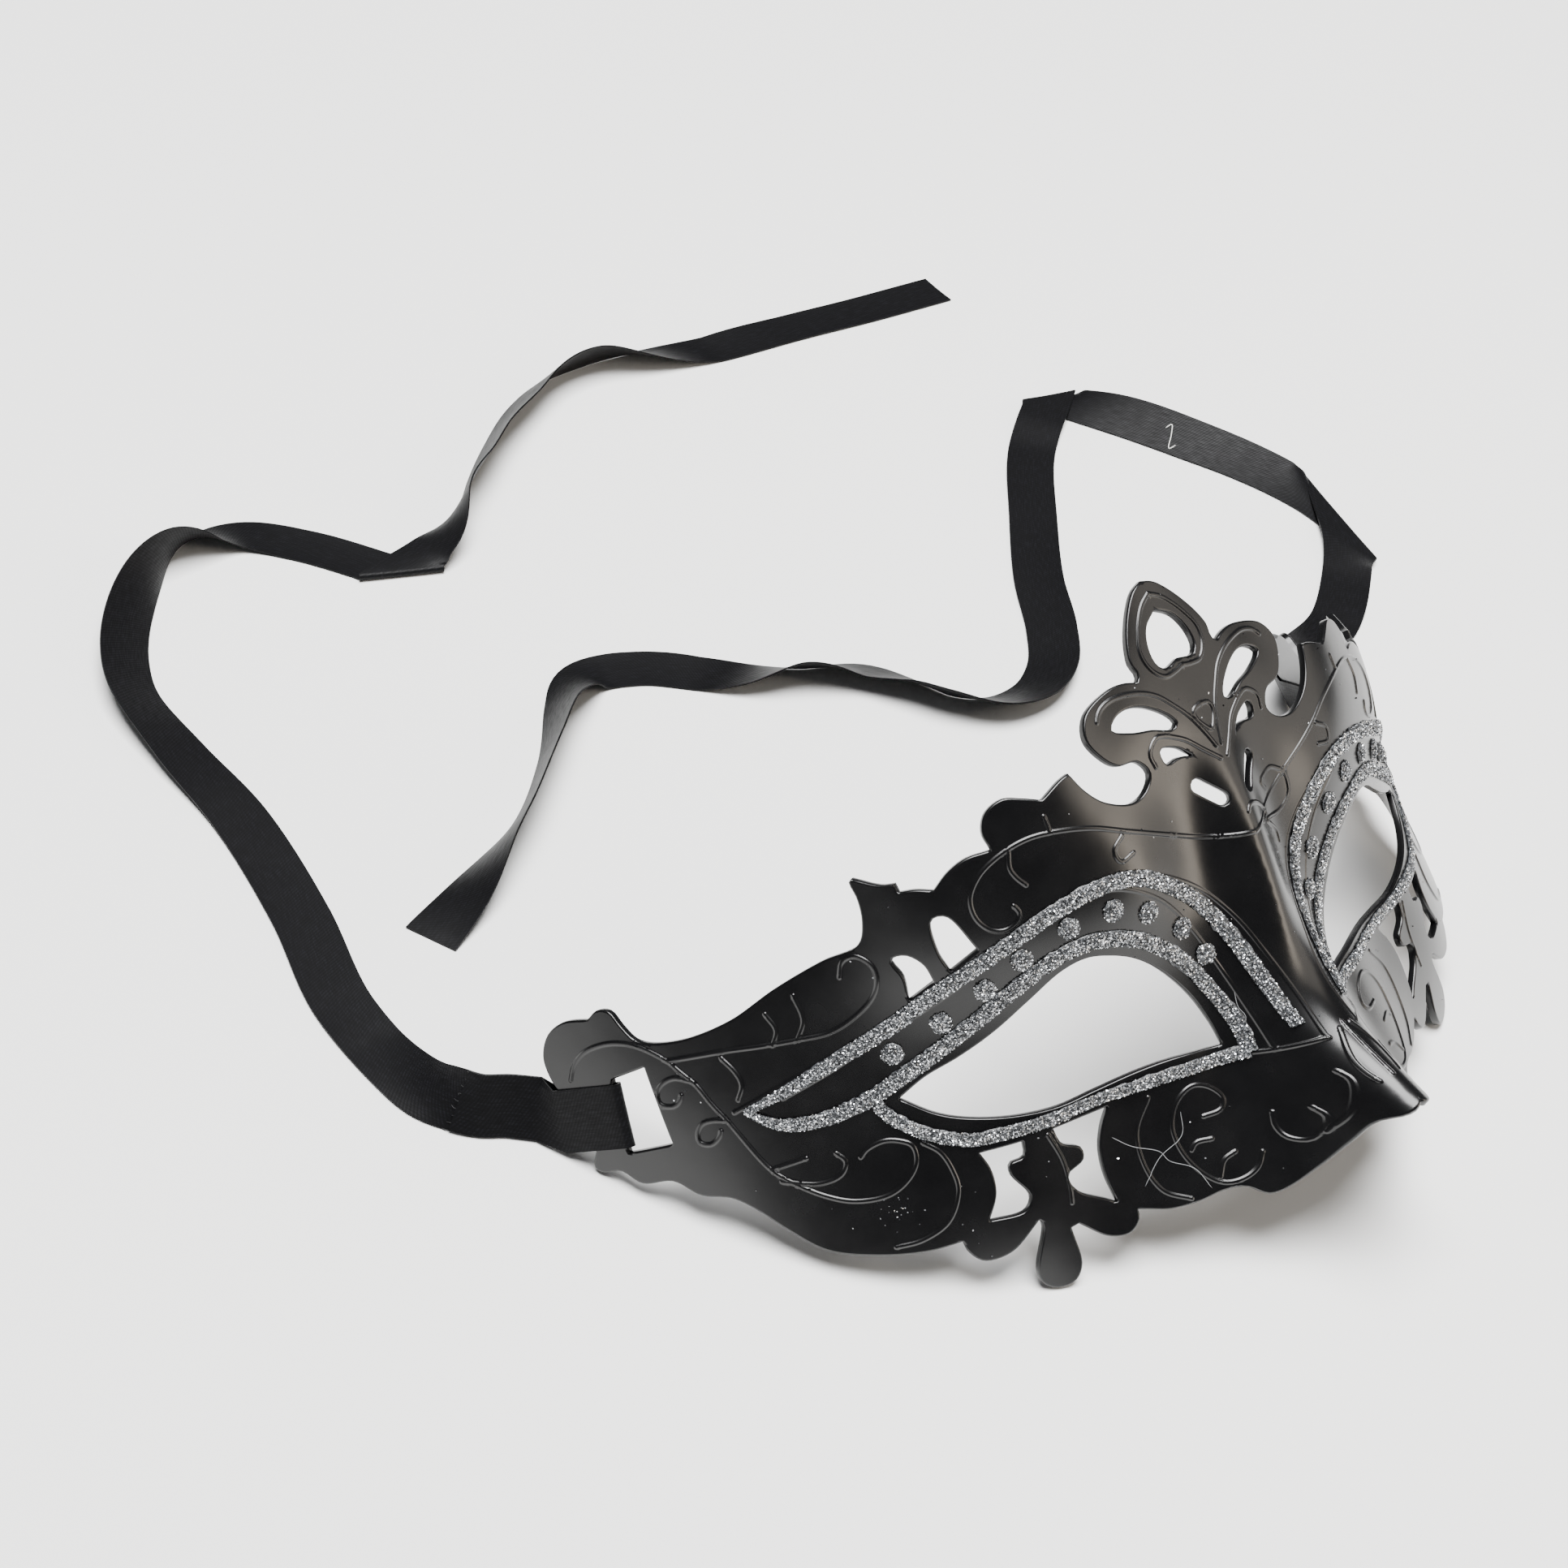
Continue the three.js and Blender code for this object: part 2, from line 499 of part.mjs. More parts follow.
// Outline of the whole pattern with its openings, as a prism that cuts the blank
const PRISM_LOW = -10;
const PRISM_HIGH = 40;
function patternPrism() {
  const right = smoothEdge(OUTER_EDGE, false);
  const left = mirrored(right).slice(1, -1);
  const shape = new THREE.Shape([...right, ...left].reverse());
  const curved = Object.values(OPENINGS).map((rows) => smoothEdge(rows, true));
  const oneSide = [...curved, slotEdge, slitEdge()];
  for (const edge of oneSide) {
    shape.holes.push(new THREE.Path(edge));
    shape.holes.push(new THREE.Path(mirrored(edge)));
  }
  const tear = smoothEdge(TEAR_OPENING, false);
  shape.holes.push(new THREE.Path([...tear, ...mirrored(tear).slice(1, -1)]));
  const prism = new THREE.ExtrudeGeometry(shape, { depth: PRISM_HIGH - PRISM_LOW, bevelEnabled: false });
  return solidOf(prism.translate(0, 0, PRISM_LOW));
}

// Net lines of the blank, closer together over the nose than on the wings
function netLines(low, high, stepAt) {
  const lines = [low];
  while (lines[lines.length - 1] < high) {
    const last = lines[lines.length - 1];
    lines.push(Math.min(high, last + stepAt(last)));
  }
  return lines;
}

function blank() {
  const stepAt = (x) => NOSE_STEP + (WING_STEP - NOSE_STEP) * Math.min(1, x / EYE_OUTER);
  const half = netLines(0, WING_TIP + MARGIN, stepAt);
  const xs = [...half.slice(1).reverse().map((x) => -x), ...half];
  const ys = netLines(-TOE_DROP - MARGIN, CROWN_RISE + MARGIN, () => HEIGHT_STEP);
  const points = [];
  const faces = [];
  for (const level of [0, -WALL]) {
    for (const y of ys) for (const x of xs) points.push(x, y, level + dome(x, y));
  }
  const wide = xs.length;
  const layer = wide * ys.length;
  const quad = (a, b, c, d) => faces.push(a, b, c, a, c, d);
  for (let j = 0; j + 1 < ys.length; j++) {
    for (let i = 0; i + 1 < wide; i++) {
      const a = j * wide + i;
      quad(a, a + 1, a + wide + 1, a + wide);
      quad(layer + a, layer + a + wide, layer + a + wide + 1, layer + a + 1);
    }
    const left = j * wide;
    const right = left + wide - 1;
    quad(left, left + wide, layer + left + wide, layer + left);
    quad(right, layer + right, layer + right + wide, right + wide);
  }
  const top = layer - wide;
  for (let i = 0; i + 1 < wide; i++) {
    quad(i, layer + i, layer + i + 1, i + 1);
    quad(top + i, top + i + 1, layer + top + i + 1, layer + top + i);
  }
  const geometry = new THREE.BufferGeometry();
  geometry.setAttribute('position', new THREE.Float32BufferAttribute(points, 3));
  geometry.setIndex(faces);
  return solidOf(geometry);
}

// Evenly spaced points and directions on a smooth curve
function stationsOn(curve, step, ring = false) {
  const count = Math.max(2, Math.round(curve.getLength() / step));
  const stations = [];
  for (let i = 0; i <= count - (ring ? 1 : 0); i++) {
    const along = i / count;
    const heading = curve.getTangentAt(along).normalize();
    stations.push({ along, point: curve.getPointAt(along), heading });
  }
  return stations;
}

// Raised line: a low bar with sloped flanks whose foot is sunk in the blank
function ridge(points, ring = false) {
  const stations = stationsOn(smoothCurve(points, ring), RIDGE_STEP, ring);
  const rings = stations.map(({ point, heading }) => {
    const side = new THREE.Vector3(heading.y, -heading.x, 0);
    const at = (reach, height) => {
      const p = point.clone().addScaledVector(side, reach);
      p.z = height + dome(p.x, p.y);
      return p;
    };
    return [
      at(-RIDGE_WIDTH / 2, -RIDGE_SINK), at(-RIDGE_CREST / 2, RIDGE_HEIGHT),
      at(RIDGE_CREST / 2, RIDGE_HEIGHT), at(RIDGE_WIDTH / 2, -RIDGE_SINK),
    ];
  });
  return solidOf(loft(rings, ring));
}

function bothSides(points, build) {
  return [build(points), build(points.map((p) => new THREE.Vector2(-p.x, p.y)))];
}
const wholeRing = (rows) => {
  const right = rows.map(flat);
  return [...right, ...mirrored(right).slice(1, -1)];
};

function shellGeometry() {
  const ridges = Object.values(RIDGES).flatMap((rows) => bothSides(rows.map(flat), (p) => ridge(p)));
  ridges.push(ridge(wholeRing(TEAR_RING), true));
  ridges.push(ridge(wholeRing(DROP_RING), true));
  ridges.push(ridge(LEAF_RIB.map(flat)));
  let raised = blank();
  for (const line of ridges) raised = raised.add(line);
  return geometryOf(raised.intersect(patternPrism()), bend);
}

// Glitter: a thin strip just above the surface
function band(points, shares) {
  const widths = naturalSpline(shares.map((_, i) => i / (shares.length - 1)), shares);
  const stations = stationsOn(smoothCurve(points), BAND_STEP);
  const rings = stations.map(({ along, point, heading }) => {
    const side = new THREE.Vector3(heading.y, -heading.x, 0);
    const half = (BAND_WIDTH / 2) * widths(along);
    const at = (reach, height) => {
      const p = point.clone().addScaledVector(side, reach);
      p.z = height + dome(p.x, p.y);
      return p;
    };
    const top = GLITTER_SEAT + GLITTER_THICK;
    return [at(-half, GLITTER_SEAT), at(-half, top), at(half, top), at(half, GLITTER_SEAT)];
  });
  return solidOf(loft(rings));
}

function glitterTrim(sign) {
  let trim = null;
  for (const rows of Object.values(GLITTER_BANDS)) {
    const points = rows.map(flat).map((p) => new THREE.Vector2(sign * p.x, p.y));
    const strip = band(points, rows.map((row) => row[2]));
    trim = trim ? trim.add(strip) : strip;
  }
  return geometryOf(trim, bend);
}

// Glitter dot: a low dome, flat below
function glitterDot(row, sign) {
  const middle = flat(row);
  const rings = [[1, 0], [0.8, 0.6], [0.4, 1]].map(([reach, rise]) => {
    const ring = [];
    for (let i = 0; i < DOT_SIDES; i++) {
      const turn = (2 * Math.PI * i) / DOT_SIDES;
      const x = sign * middle.x + (DOT_DIAMETER / 2) * reach * Math.cos(turn);
      const y = middle.y + (DOT_DIAMETER / 2) * reach * Math.sin(turn);
      ring.push(wrap(x, y, GLITTER_SEAT + DOT_HEIGHT * rise));
    }
    return ring;
  });
  return loft(rings);
}

// A ribbon station: middle point, half-width vector to the ribbon's first edge, and face normal
const Z_AXIS = new THREE.Vector3(0, 0, 1);
const station = (point, half, normal) => ({ point, half, normal });

// The ribbon's end wraps the bar outside the slot: its short end lies on the front of the wing, the
// long one leaves from behind it
function barLoop(sign, origin, leaving) {
  const offset = CLEARANCE + RIBBON_THICK / 2;
  const barEnd = across(SLOT_PLACES.leave);
  const place = (x, z, turn) => {
    const point = wrap(sign * x, slotMiddle, z).sub(origin);
    const above = wrap(sign * x, slotMiddle + 1, z).sub(origin);
    const axis = above.sub(point).normalize().multiplyScalar(-sign);
    const face = outward(sign * x, slotMiddle).applyAxisAngle(X_AXIS, lean);
    return station(point, axis.clone().multiplyScalar(RIBBON_WIDTH / 2), face.applyAxisAngle(axis, turn));
  };
  const layerGap = RIBBON_THICK + CLEARANCE;
  const front = leaving.slice(0, 2).reverse().map((s) => {
    const away = s.normal.clone().negate();
    return station(s.point.clone().addScaledVector(away, layerGap), s.half, away);
  });
  const loop = [...front, place(barEnd, offset, 0), place((barEnd + slotOuter) / 2, offset, 0)];
  const radius = WALL / 2 + offset;
  for (let i = 0; i <= LOOP_TURNS; i++) {
    const turn = (Math.PI * i) / LOOP_TURNS;
    const x = slotOuter - radius * Math.sin(turn);
    loop.push(place(x, -WALL / 2 + radius * Math.cos(turn), turn));
  }
  loop.push(place((barEnd + slotOuter) / 2, -WALL - offset, Math.PI));
  loop.push(place(barEnd, -WALL - offset, Math.PI));
  return loop;
}

// Stations along one leg that lies on the table. Near a fold the cross lines turn to the crease, and
// the leg that lies on top comes down to the table again.
function legStations(leg, startFold, endFold) {
  const curve = smoothCurve(leg.route.map(([x, y]) => new THREE.Vector2(x, y)));
  curve.arcLengthDivisions = LENGTH_STEPS * (leg.route.length - 1);
  const lengths = curve.getLengths();
  const length = curve.getLength();
  const marks = leg.route.map((_, i) => lengths[LENGTH_STEPS * i] / length);
  const rolls = naturalSpline(marks, leg.route.map((row) => row[2]));
  return stationsOn(curve, RIBBON_STEP).map(({ along, point, heading }) => {
    const roll = THREE.MathUtils.degToRad(rolls(along));
    const [flatShare, raisedShare] = [Math.abs(Math.cos(roll)), Math.abs(Math.sin(roll))];
    const left = new THREE.Vector3(-heading.y, heading.x, 0);
    const edge = left.multiplyScalar(Math.cos(roll)).addScaledVector(Z_AXIS, Math.sin(roll));
    const normal = heading.clone().cross(edge).normalize();
    const half = edge.multiplyScalar(RIBBON_WIDTH / 2);
    point.z = (RIBBON_WIDTH / 2) * raisedShare + (RIBBON_THICK / 2) * flatShare;
    for (const [fold, reach] of [[startFold, along * length], [endFold, (1 - along) * length]]) {
      if (!fold) continue;
      const shift = (RIBBON_WIDTH / 2) * fold.skew * Math.sign(Math.cos(roll));
      half.addScaledVector(heading, shift * Math.max(0, 1 - reach / (Math.abs(shift) + FOLD_FADE)));
      point.z += fold.lift * THREE.MathUtils.smoothstep(FOLD_CLEAR + FOLD_RAMP - reach, 0, FOLD_RAMP);
    }
    return station(point, half, normal);
  });
}

// Half turn of the ribbon round the crease, from the last station of a leg to the first of the next
function foldStations(end, start, ahead) {
  const middle = end.point.clone().add(start.point).multiplyScalar(0.5);
  const radius = (start.point.z - end.point.z) / 2;
  const reach = end.half.clone().setZ(0).normalize().cross(Z_AXIS);
  if (reach.dot(ahead) < 0) reach.negate();
  const stations = [];
  for (let i = 1; i < FOLD_TURNS; i++) {
    const turn = (Math.PI * i) / FOLD_TURNS;
    const point = middle.clone().addScaledVector(reach, Math.abs(radius) * Math.sin(turn));
    point.z -= radius * Math.cos(turn);
    const normal = Z_AXIS.clone().multiplyScalar(end.normal.z * Math.cos(turn));
    normal.addScaledVector(reach, -Math.sign(radius) * end.normal.z * Math.sin(turn));
    stations.push(station(point, end.half, normal.normalize()));
  }
  return stations;
}

// The whole ribbon. Its crease halves the angle between two legs, and each fold turns its face over,
// as a twisted leg does.
function ribbonGeometry(legs, sign, origin) {
  const headings = legs.map(({ route }) => {
    const ends = [[route[0], route[1]], [route[route.length - 2], route[route.length - 1]]];
    return ends.map(([p, q]) => new THREE.Vector3(q[0] - p[0], q[1] - p[1], 0).normalize());
  });
  const folds = legs.slice(1).map((leg, i) => {
    const before = headings[i][1];
    const crease = before.clone().add(headings[i + 1][0]);
    const skew = crease.dot(before) / (crease.y * before.x - crease.x * before.y);
    const lift = RIBBON_THICK + FOLD_GAP;
    const first = { skew, lift: leg.over < 0 ? lift : 0 };
    const second = { skew: -skew, lift: leg.over > 0 ? lift : 0 };
    return { first, second };
  });
  let face = -1;
  const run = [];
  legs.forEach((leg, i) => {
    const stations = legStations(leg, folds[i - 1]?.second, folds[i]?.first);
    for (const s of stations) {
      s.half.multiplyScalar(face);
      s.normal.multiplyScalar(face);
    }
    if (i > 0) run.push(...foldStations(run[run.length - 1], stations[0], headings[i - 1][1]));
    run.push(...stations);
    const lastRoll = THREE.MathUtils.degToRad(leg.route[leg.route.length - 1][2]);
    face *= -Math.sign(Math.cos(lastRoll));
  });
  const loop = barLoop(sign, origin, run);
  const rings = [...loop, ...run].map((s) => {
    const thick = s.normal.clone().multiplyScalar(RIBBON_THICK / 2);
    const [a, b] = [s.point.clone().add(s.half), s.point.clone().sub(s.half)];
    return [a.clone().add(thick), b.clone().add(thick), b.clone().sub(thick), a.clone().sub(thick)];
  });
  return loft(rings);
}

const plastic = new THREE.MeshStandardMaterial({ color: 0x16161a, roughness: 0.25, metalness: 0 });
const glitter = new THREE.MeshStandardMaterial({ color: 0x8f9196, roughness: 0.35, metalness: 0.6 });
const satin = new THREE.MeshStandardMaterial({ color: 0x141416, roughness: 0.5, metalness: 0 });

const mask = new THREE.Group();
mask.name = 'half_mask';
function addPiece(name, geometry, material) {
  const mesh = new THREE.Mesh(geometry, material);
  mesh.name = name;
  mask.add(mesh);
  return mesh;
}

addPiece('mask_shell', shellGeometry(), plastic);
for (const [side, sign] of [['left', -1], ['right', 1]]) {
  addPiece(`glitter_trim_${side}`, glitterTrim(sign), glitter);
  DOTS.forEach((row, i) => addPiece(`glitter_dot_${side}_${i + 1}`, glitterDot(row, sign), glitter));
}

// The origin lies on the table under the middle of the mask
const box = new THREE.Box3().setFromObject(mask);
const origin = new THREE.Vector3((box.min.x + box.max.x) / 2, (box.min.y + box.max.y) / 2, box.min.z);
for (const piece of mask.children) piece.geometry.translate(-origin.x, -origin.y, -origin.z);
addPiece('ribbon_left', ribbonGeometry(RIBBON_LEFT, -1, origin), satin);
addPiece('ribbon_right', ribbonGeometry(RIBBON_RIGHT, 1, origin), satin);

export default mask;
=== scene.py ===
# %% [markdown]
# # A party half mask, laid down on a table
#
# The real thing is one thin plastic moulding with pierced scrollwork, some glitter glue squeezed on by
# hand, and a satin ribbon through a slot at each end. This lesson dresses a plain model of it. The model
# is loaded as a fixed frame, and every piece made here sits where its plain twin is.

import math

import bpy
import numpy as np
from mathutils import Matrix, Vector
from mathutils.geometry import delaunay_2d_cdt


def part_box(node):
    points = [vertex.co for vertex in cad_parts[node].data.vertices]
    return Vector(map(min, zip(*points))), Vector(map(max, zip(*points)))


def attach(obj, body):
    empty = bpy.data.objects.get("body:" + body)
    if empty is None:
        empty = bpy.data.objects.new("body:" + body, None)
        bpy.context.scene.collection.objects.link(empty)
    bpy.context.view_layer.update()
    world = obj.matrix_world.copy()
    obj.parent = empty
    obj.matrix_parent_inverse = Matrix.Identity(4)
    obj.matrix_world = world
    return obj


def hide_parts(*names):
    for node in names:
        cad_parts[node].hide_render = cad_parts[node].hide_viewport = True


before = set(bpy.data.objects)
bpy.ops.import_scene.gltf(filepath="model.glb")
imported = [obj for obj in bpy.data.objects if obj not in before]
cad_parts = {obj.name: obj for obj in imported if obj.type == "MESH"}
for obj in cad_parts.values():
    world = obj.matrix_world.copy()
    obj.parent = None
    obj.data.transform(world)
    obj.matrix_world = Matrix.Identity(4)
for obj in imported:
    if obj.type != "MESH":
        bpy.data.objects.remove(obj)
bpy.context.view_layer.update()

# %% [markdown]
# ## Units, helpers and random numbers
# A mask maker works in millimetres, so all shapes here are worked out in millimetres and turned to
# metres only when a mesh is made. Glitter needs chance, and a seeded generator gives the same chance in
# every run.

# %% Meshes from arrays
MM = 0.001
chance = np.random.default_rng(11)


def make_piece(name, points_mm, faces, materials, slot, smooth=True):
    """A mesh object at the origin, which rides on the one body of the mask."""
    mesh = bpy.data.meshes.new(name)
    mesh.from_pydata((np.asarray(points_mm) * MM).tolist(), [], faces)
    mesh.update()
    for material in materials:
        mesh.materials.append(material)
    mesh.polygons.foreach_set("use_smooth", [smooth] * len(mesh.polygons))
    piece = bpy.data.objects.new(name, mesh)
    bpy.context.scene.collection.objects.link(piece)
    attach(piece, "root")
    return piece


def joined(parts):
    """Joins (points, faces, more faces) parts: all points, then the faces of each kind renumbered."""
    starts = np.cumsum([0] + [len(part[0]) for part in parts]).tolist()
    kinds = [[tuple(i + start for i in face) for part, start in zip(parts, starts) for face in part[kind]]
             for kind in range(1, len(parts[0]))]
    return np.vstack([part[0] for part in parts]), *kinds


# %% [markdown]
# ## Camera
# The photograph was taken from the front left, about 40 degrees above the table, with the camera rolled
# a little. A lens of 65 mm on a full-frame sensor gives its frame.

# %% Camera
CAMERA_AT = Vector((-287.3, -182.9, 332.1)) * MM
CAMERA_HEADING = 46.68
CAMERA_DIP = 40.34
CAMERA_ROLL = 7.09
CAMERA_LENS = 65.2
SENSOR = 36.0

heading = math.radians(CAMERA_HEADING)
dip = math.radians(CAMERA_DIP)
forward = Vector((math.sin(heading) * math.cos(dip), math.cos(heading) * math.cos(dip), -math.sin(dip)))
level = forward.cross(Vector((0, 0, 1))).normalized()
roll = Matrix.Rotation(-math.radians(CAMERA_ROLL), 3, forward)
right = roll @ level
camera_data = bpy.data.cameras.new("camera")
camera_data.lens = CAMERA_LENS
camera_data.sensor_width = SENSOR
camera_data.clip_start = 0.01
camera = bpy.data.objects.new("camera", camera_data)
bpy.context.scene.collection.objects.link(camera)
turned = Matrix((right, right.cross(forward), -forward)).transposed().to_4x4()
camera.matrix_world = Matrix.Translation(CAMERA_AT) @ turned
bpy.context.scene.camera = camera
print("camera", [round(v, 3) for v in camera.location], "looks along", [round(v, 3) for v in forward])

# %% [markdown]
# ## Colours and shader nodes
# Colours are picked as sRGB hex values, as in any paint program, and Blender wants them linear. One
# helper adds a node, sets its values and makes its links, which keeps each material short.

# %% Colour and node helpers


def linear(hex_colour):
    """sRGB hex colour, such as '#1a1a1c', as a linear RGBA tuple."""
    channels = [int(hex_colour[i:i + 2], 16) / 255 for i in (1, 3, 5)]
    bent = [c / 12.92 if c <= 0.04045 else ((c + 0.055) / 1.055) ** 2.4 for c in channels]
    return (*bent, 1.0)


def add_node(tree, kind, settings=None, inputs=None):
    """Adds a shader node. An input is a value, or an output socket to link."""
    node = tree.nodes.new(kind)
    for key, value in (settings or {}).items():
        setattr(node, key, value)
    for key, value in (inputs or {}).items():
        if isinstance(value, bpy.types.NodeSocket):
            tree.links.new(value, node.inputs[key])
        else:
            node.inputs[key].default_value = value
    return node


def new_material(name):
    """An empty material with a Principled shader: the material, its tree and the shader."""
    material = bpy.data.materials.new(name)
    material.use_nodes = True
    tree = material.node_tree
    tree.nodes.clear()
    shader = add_node(tree, "ShaderNodeBsdfPrincipled")
    add_node(tree, "ShaderNodeOutputMaterial", inputs={"Surface": shader.outputs["BSDF"]})
    return material, tree, shader


def colour_ramp(tree, factor, stops):
    """Colour ramp through (place, hex colour) stops."""
    ramp = add_node(tree, "ShaderNodeValToRGB", inputs={"Fac": factor})
    elements = ramp.color_ramp.elements
    while len(elements) < len(stops):
        elements.new(0.5)
    for element, (place, hex_colour) in zip(elements, stops):
        element.position = place
        element.color = linear(hex_colour)
    return ramp.outputs["Color"]


# %% [markdown]
# ## Satin ribbon: the material
# The ribbon is woven polyester satin, 10 mm wide. Most of its long threads float on one face, so light
# slides along them as fine streaks in the length of the ribbon. A smooth cloth shader would look like
# rubber. Streaks stretched along the ribbon, a faint diagonal where the threads bind, and a sheen at
# grazing angles give the cloth. The real threads are 0.1 mm apart, too fine to show here, so they are
# drawn 0.28 mm apart.

# %% Satin material
THREAD = 0.28
BIND = 0.55


def woven_satin():
    material, tree, shader = new_material("woven polyester satin, black")
    place = add_node(tree, "ShaderNodeUVMap", {"uv_map": "ribbon_mm"})
    floats = add_node(tree, "ShaderNodeMapping", inputs={
        "Vector": place.outputs["UV"], "Scale": (1 / (9 * THREAD), 1 / THREAD, 1)})
    streaks = add_node(tree, "ShaderNodeTexNoise", {"noise_dimensions": "2D"}, {
        "Vector": floats.outputs["Vector"], "Scale": 1.0, "Detail": 2.0})
    slant = add_node(tree, "ShaderNodeMapping", inputs={
        "Vector": place.outputs["UV"], "Rotation": (0, 0, math.radians(32)),
        "Scale": (1 / BIND, 1 / BIND, 1)})
    binding = add_node(tree, "ShaderNodeTexWave", {"bands_direction": "X"}, {
        "Vector": slant.outputs["Vector"], "Scale": 0.32, "Distortion": 1.2, "Detail": 1.0})
    weave = add_node(tree, "ShaderNodeMath", {"operation": "MULTIPLY_ADD"}, {
        0: binding.outputs["Fac"], 1: 0.35, 2: streaks.outputs["Fac"]})
    tone = colour_ramp(tree, weave.outputs["Value"], [(0.35, "#040405"), (0.8, "#0a0a0c"), (1.0, "#141417")])
    tree.links.new(tone, shader.inputs["Base Color"])
    gloss = add_node(tree, "ShaderNodeMapRange", inputs={
        "Value": weave.outputs["Value"], "From Min": 0.3, "From Max": 1.0, "To Min": 0.6, "To Max": 0.42})
    tree.links.new(gloss.outputs["Result"], shader.inputs["Roughness"])
    bump = add_node(tree, "ShaderNodeBump", inputs={
        "Height": weave.outputs["Value"], "Strength": 0.35, "Distance": 0.05 * MM})
    tree.links.new(bump.outputs["Normal"], shader.inputs["Normal"])
    shader.inputs["IOR"].default_value = 1.54
    shader.inputs["Specular IOR Level"].default_value = 0.1
    shader.inputs["Sheen Weight"].default_value = 0.01
    shader.inputs["Sheen Roughness"].default_value = 0.35
    return material


satin = woven_satin()

# %% [markdown]
# ## Curves through chosen points
# Outlines, raised lines and ribbon routes are all smooth curves through a few given points. The curve
# used is the centripetal Catmull-Rom, which goes through its points without loops.

# %% Smooth curves


def catmull_rom(points, closed=False, fine=24):
    """Dense points on the centripetal Catmull-Rom curve through the given ones."""
    p = np.asarray(points, float)
    if closed:
        p = np.vstack([p[-1], p, p[0], p[1]])
    else:
        p = np.vstack([2 * p[0] - p[1], p, 2 * p[-1] - p[-2]])
    out = []
    share = np.linspace(0, 1, fine, endpoint=False)[:, None]
    for a, b, c, d in zip(p, p[1:], p[2:], p[3:]):
        near, span, far = (math.sqrt(math.dist(*pair)) for pair in ((a, b), (b, c), (c, d)))
        start = ((b - a) / near - (c - a) / (near + span) + (c - b) / span) * span
        end = ((c - b) / span - (d - b) / (span + far) + (d - c) / far) * span
        cubic = 2 * b - 2 * c + start + end
        square = 3 * c - 3 * b - 2 * start - end
        out.append(b + start * share + square * share ** 2 + cubic * share ** 3)
    out.append(p[-2:-1])
    return np.vstack(out)


def lengths_along(line):
    return np.concatenate([[0], np.cumsum(np.linalg.norm(np.diff(line, axis=0), axis=1))])


def evenly(line, step):
    """Points about one step apart on a dense line, both ends kept."""
    along = lengths_along(line)
    count = max(1, round(along[-1] / step))
    marks = np.linspace(0, along[-1], count + 1)
    return np.column_stack([np.interp(marks, along, line[:, k]) for k in range(line.shape[1])])


def natural_spline(xs, ys):
    """Function for the natural cubic spline through (xs, ys). It takes arrays."""
    xs, ys = np.asarray(xs, float), np.asarray(ys, float)
    n = len(xs)
    gaps = np.diff(xs)
    matrix = np.eye(n)
    jumps = np.zeros(n)
    for i in range(1, n - 1):
        matrix[i, i - 1:i + 2] = gaps[i - 1], 2 * (gaps[i - 1] + gaps[i]), gaps[i]
        jumps[i] = 6 * ((ys[i + 1] - ys[i]) / gaps[i] - (ys[i] - ys[i - 1]) / gaps[i - 1])
    bend = np.linalg.solve(matrix, jumps)

    def value(x):
        i = np.clip(np.searchsorted(xs, x) - 1, 0, n - 2)
        a = (xs[i + 1] - x) / gaps[i]
        b = 1 - a
        curve = (a ** 3 - a) * bend[i] + (b ** 3 - b) * bend[i + 1]
        return a * ys[i] + b * ys[i + 1] + curve * gaps[i] ** 2 / 6

    return value


# %% [markdown]
# ## The flat pattern and how it wraps round a face
# The mask is drawn flat, as a moulder's pattern, and then bent. Places are given in zones: across, 0 is
# the middle of the face, 1 and 2 are the corners of the eye and 3 is the end of the wing; up, 1 is the
# top of the crown, 0 the brow, -1 the lower edge of the eye and -2 the tips of the lowest scrolls. A
# table then says how far each place is set back, as a share of the depth of the face.

# %% Landmarks and wrapping
ACROSS_STOPS = np.array([0, 14.5, 66.6, 122])
UP_STOPS = np.array([-57.2, -30, 0, 38.9])
FACE_DEPTH = 17.4
FRONT_RADIUS = 80
TEMPLE_RADIUS = 350
FRONT_ARC = 70
TEMPLE_ARC = 96
WALL = 1.2
LEAN_BACK = math.radians(34)

SECTION_ACROSS = [0, 0.39, 0.84, 1.12, 1.32, 1.52, 1.76, 2.05, 2.43, 3]
SECTIONS = {
    -2.0: [-1.80, -1.10, -0.40, -0.13, 0.05, 0.12, 0.05, -0.20, -0.45, -0.45],
    -1.43: [-0.91, -0.52, -0.04, 0.13, 0.22, 0.18, -0.01, -0.19, -0.35, -0.35],
    -0.93: [-0.23, -0.12, 0.18, 0.26, 0.29, 0.21, 0.06, -0.06, -0.25, -0.25],
    -0.43: [-0.07, 0.09, 0.19, 0.18, 0.13, 0.10, 0.05, 0.02, -0.13, -0.13],
    0: [0, 0.13, 0.17, 0.05, -0.02, -0.04, -0.04, 0.07, 0.02, 0.02],
    0.4: [0.18, 0.20, 0.19, 0.14, 0.03, 0.01, 0.03, 0.22, 0.22, 0.22],
    1.03: [0.54, 0.56, 0.59, 0.50, 0.36, 0.30, 0.33, 0.40, 0.50, 0.50],
}


def zone(stops, place):
    place = np.asarray(place, float)
    i = np.clip(np.floor(place).astype(int), 0, len(stops) - 2)
    return stops[i] + (place - i) * (stops[i + 1] - stops[i])


def across(place):
    return np.sign(place) * zone(ACROSS_STOPS, np.abs(place))


def up(place):
    return zone(UP_STOPS, np.asarray(place, float) + 2)


def mirror(points):
    return points * [-1, 1]


def to_right(points):
    """The same points, with those of the left half mirrored to the right one."""
    return np.column_stack([np.abs(points[:, 0]), points[:, 1]])


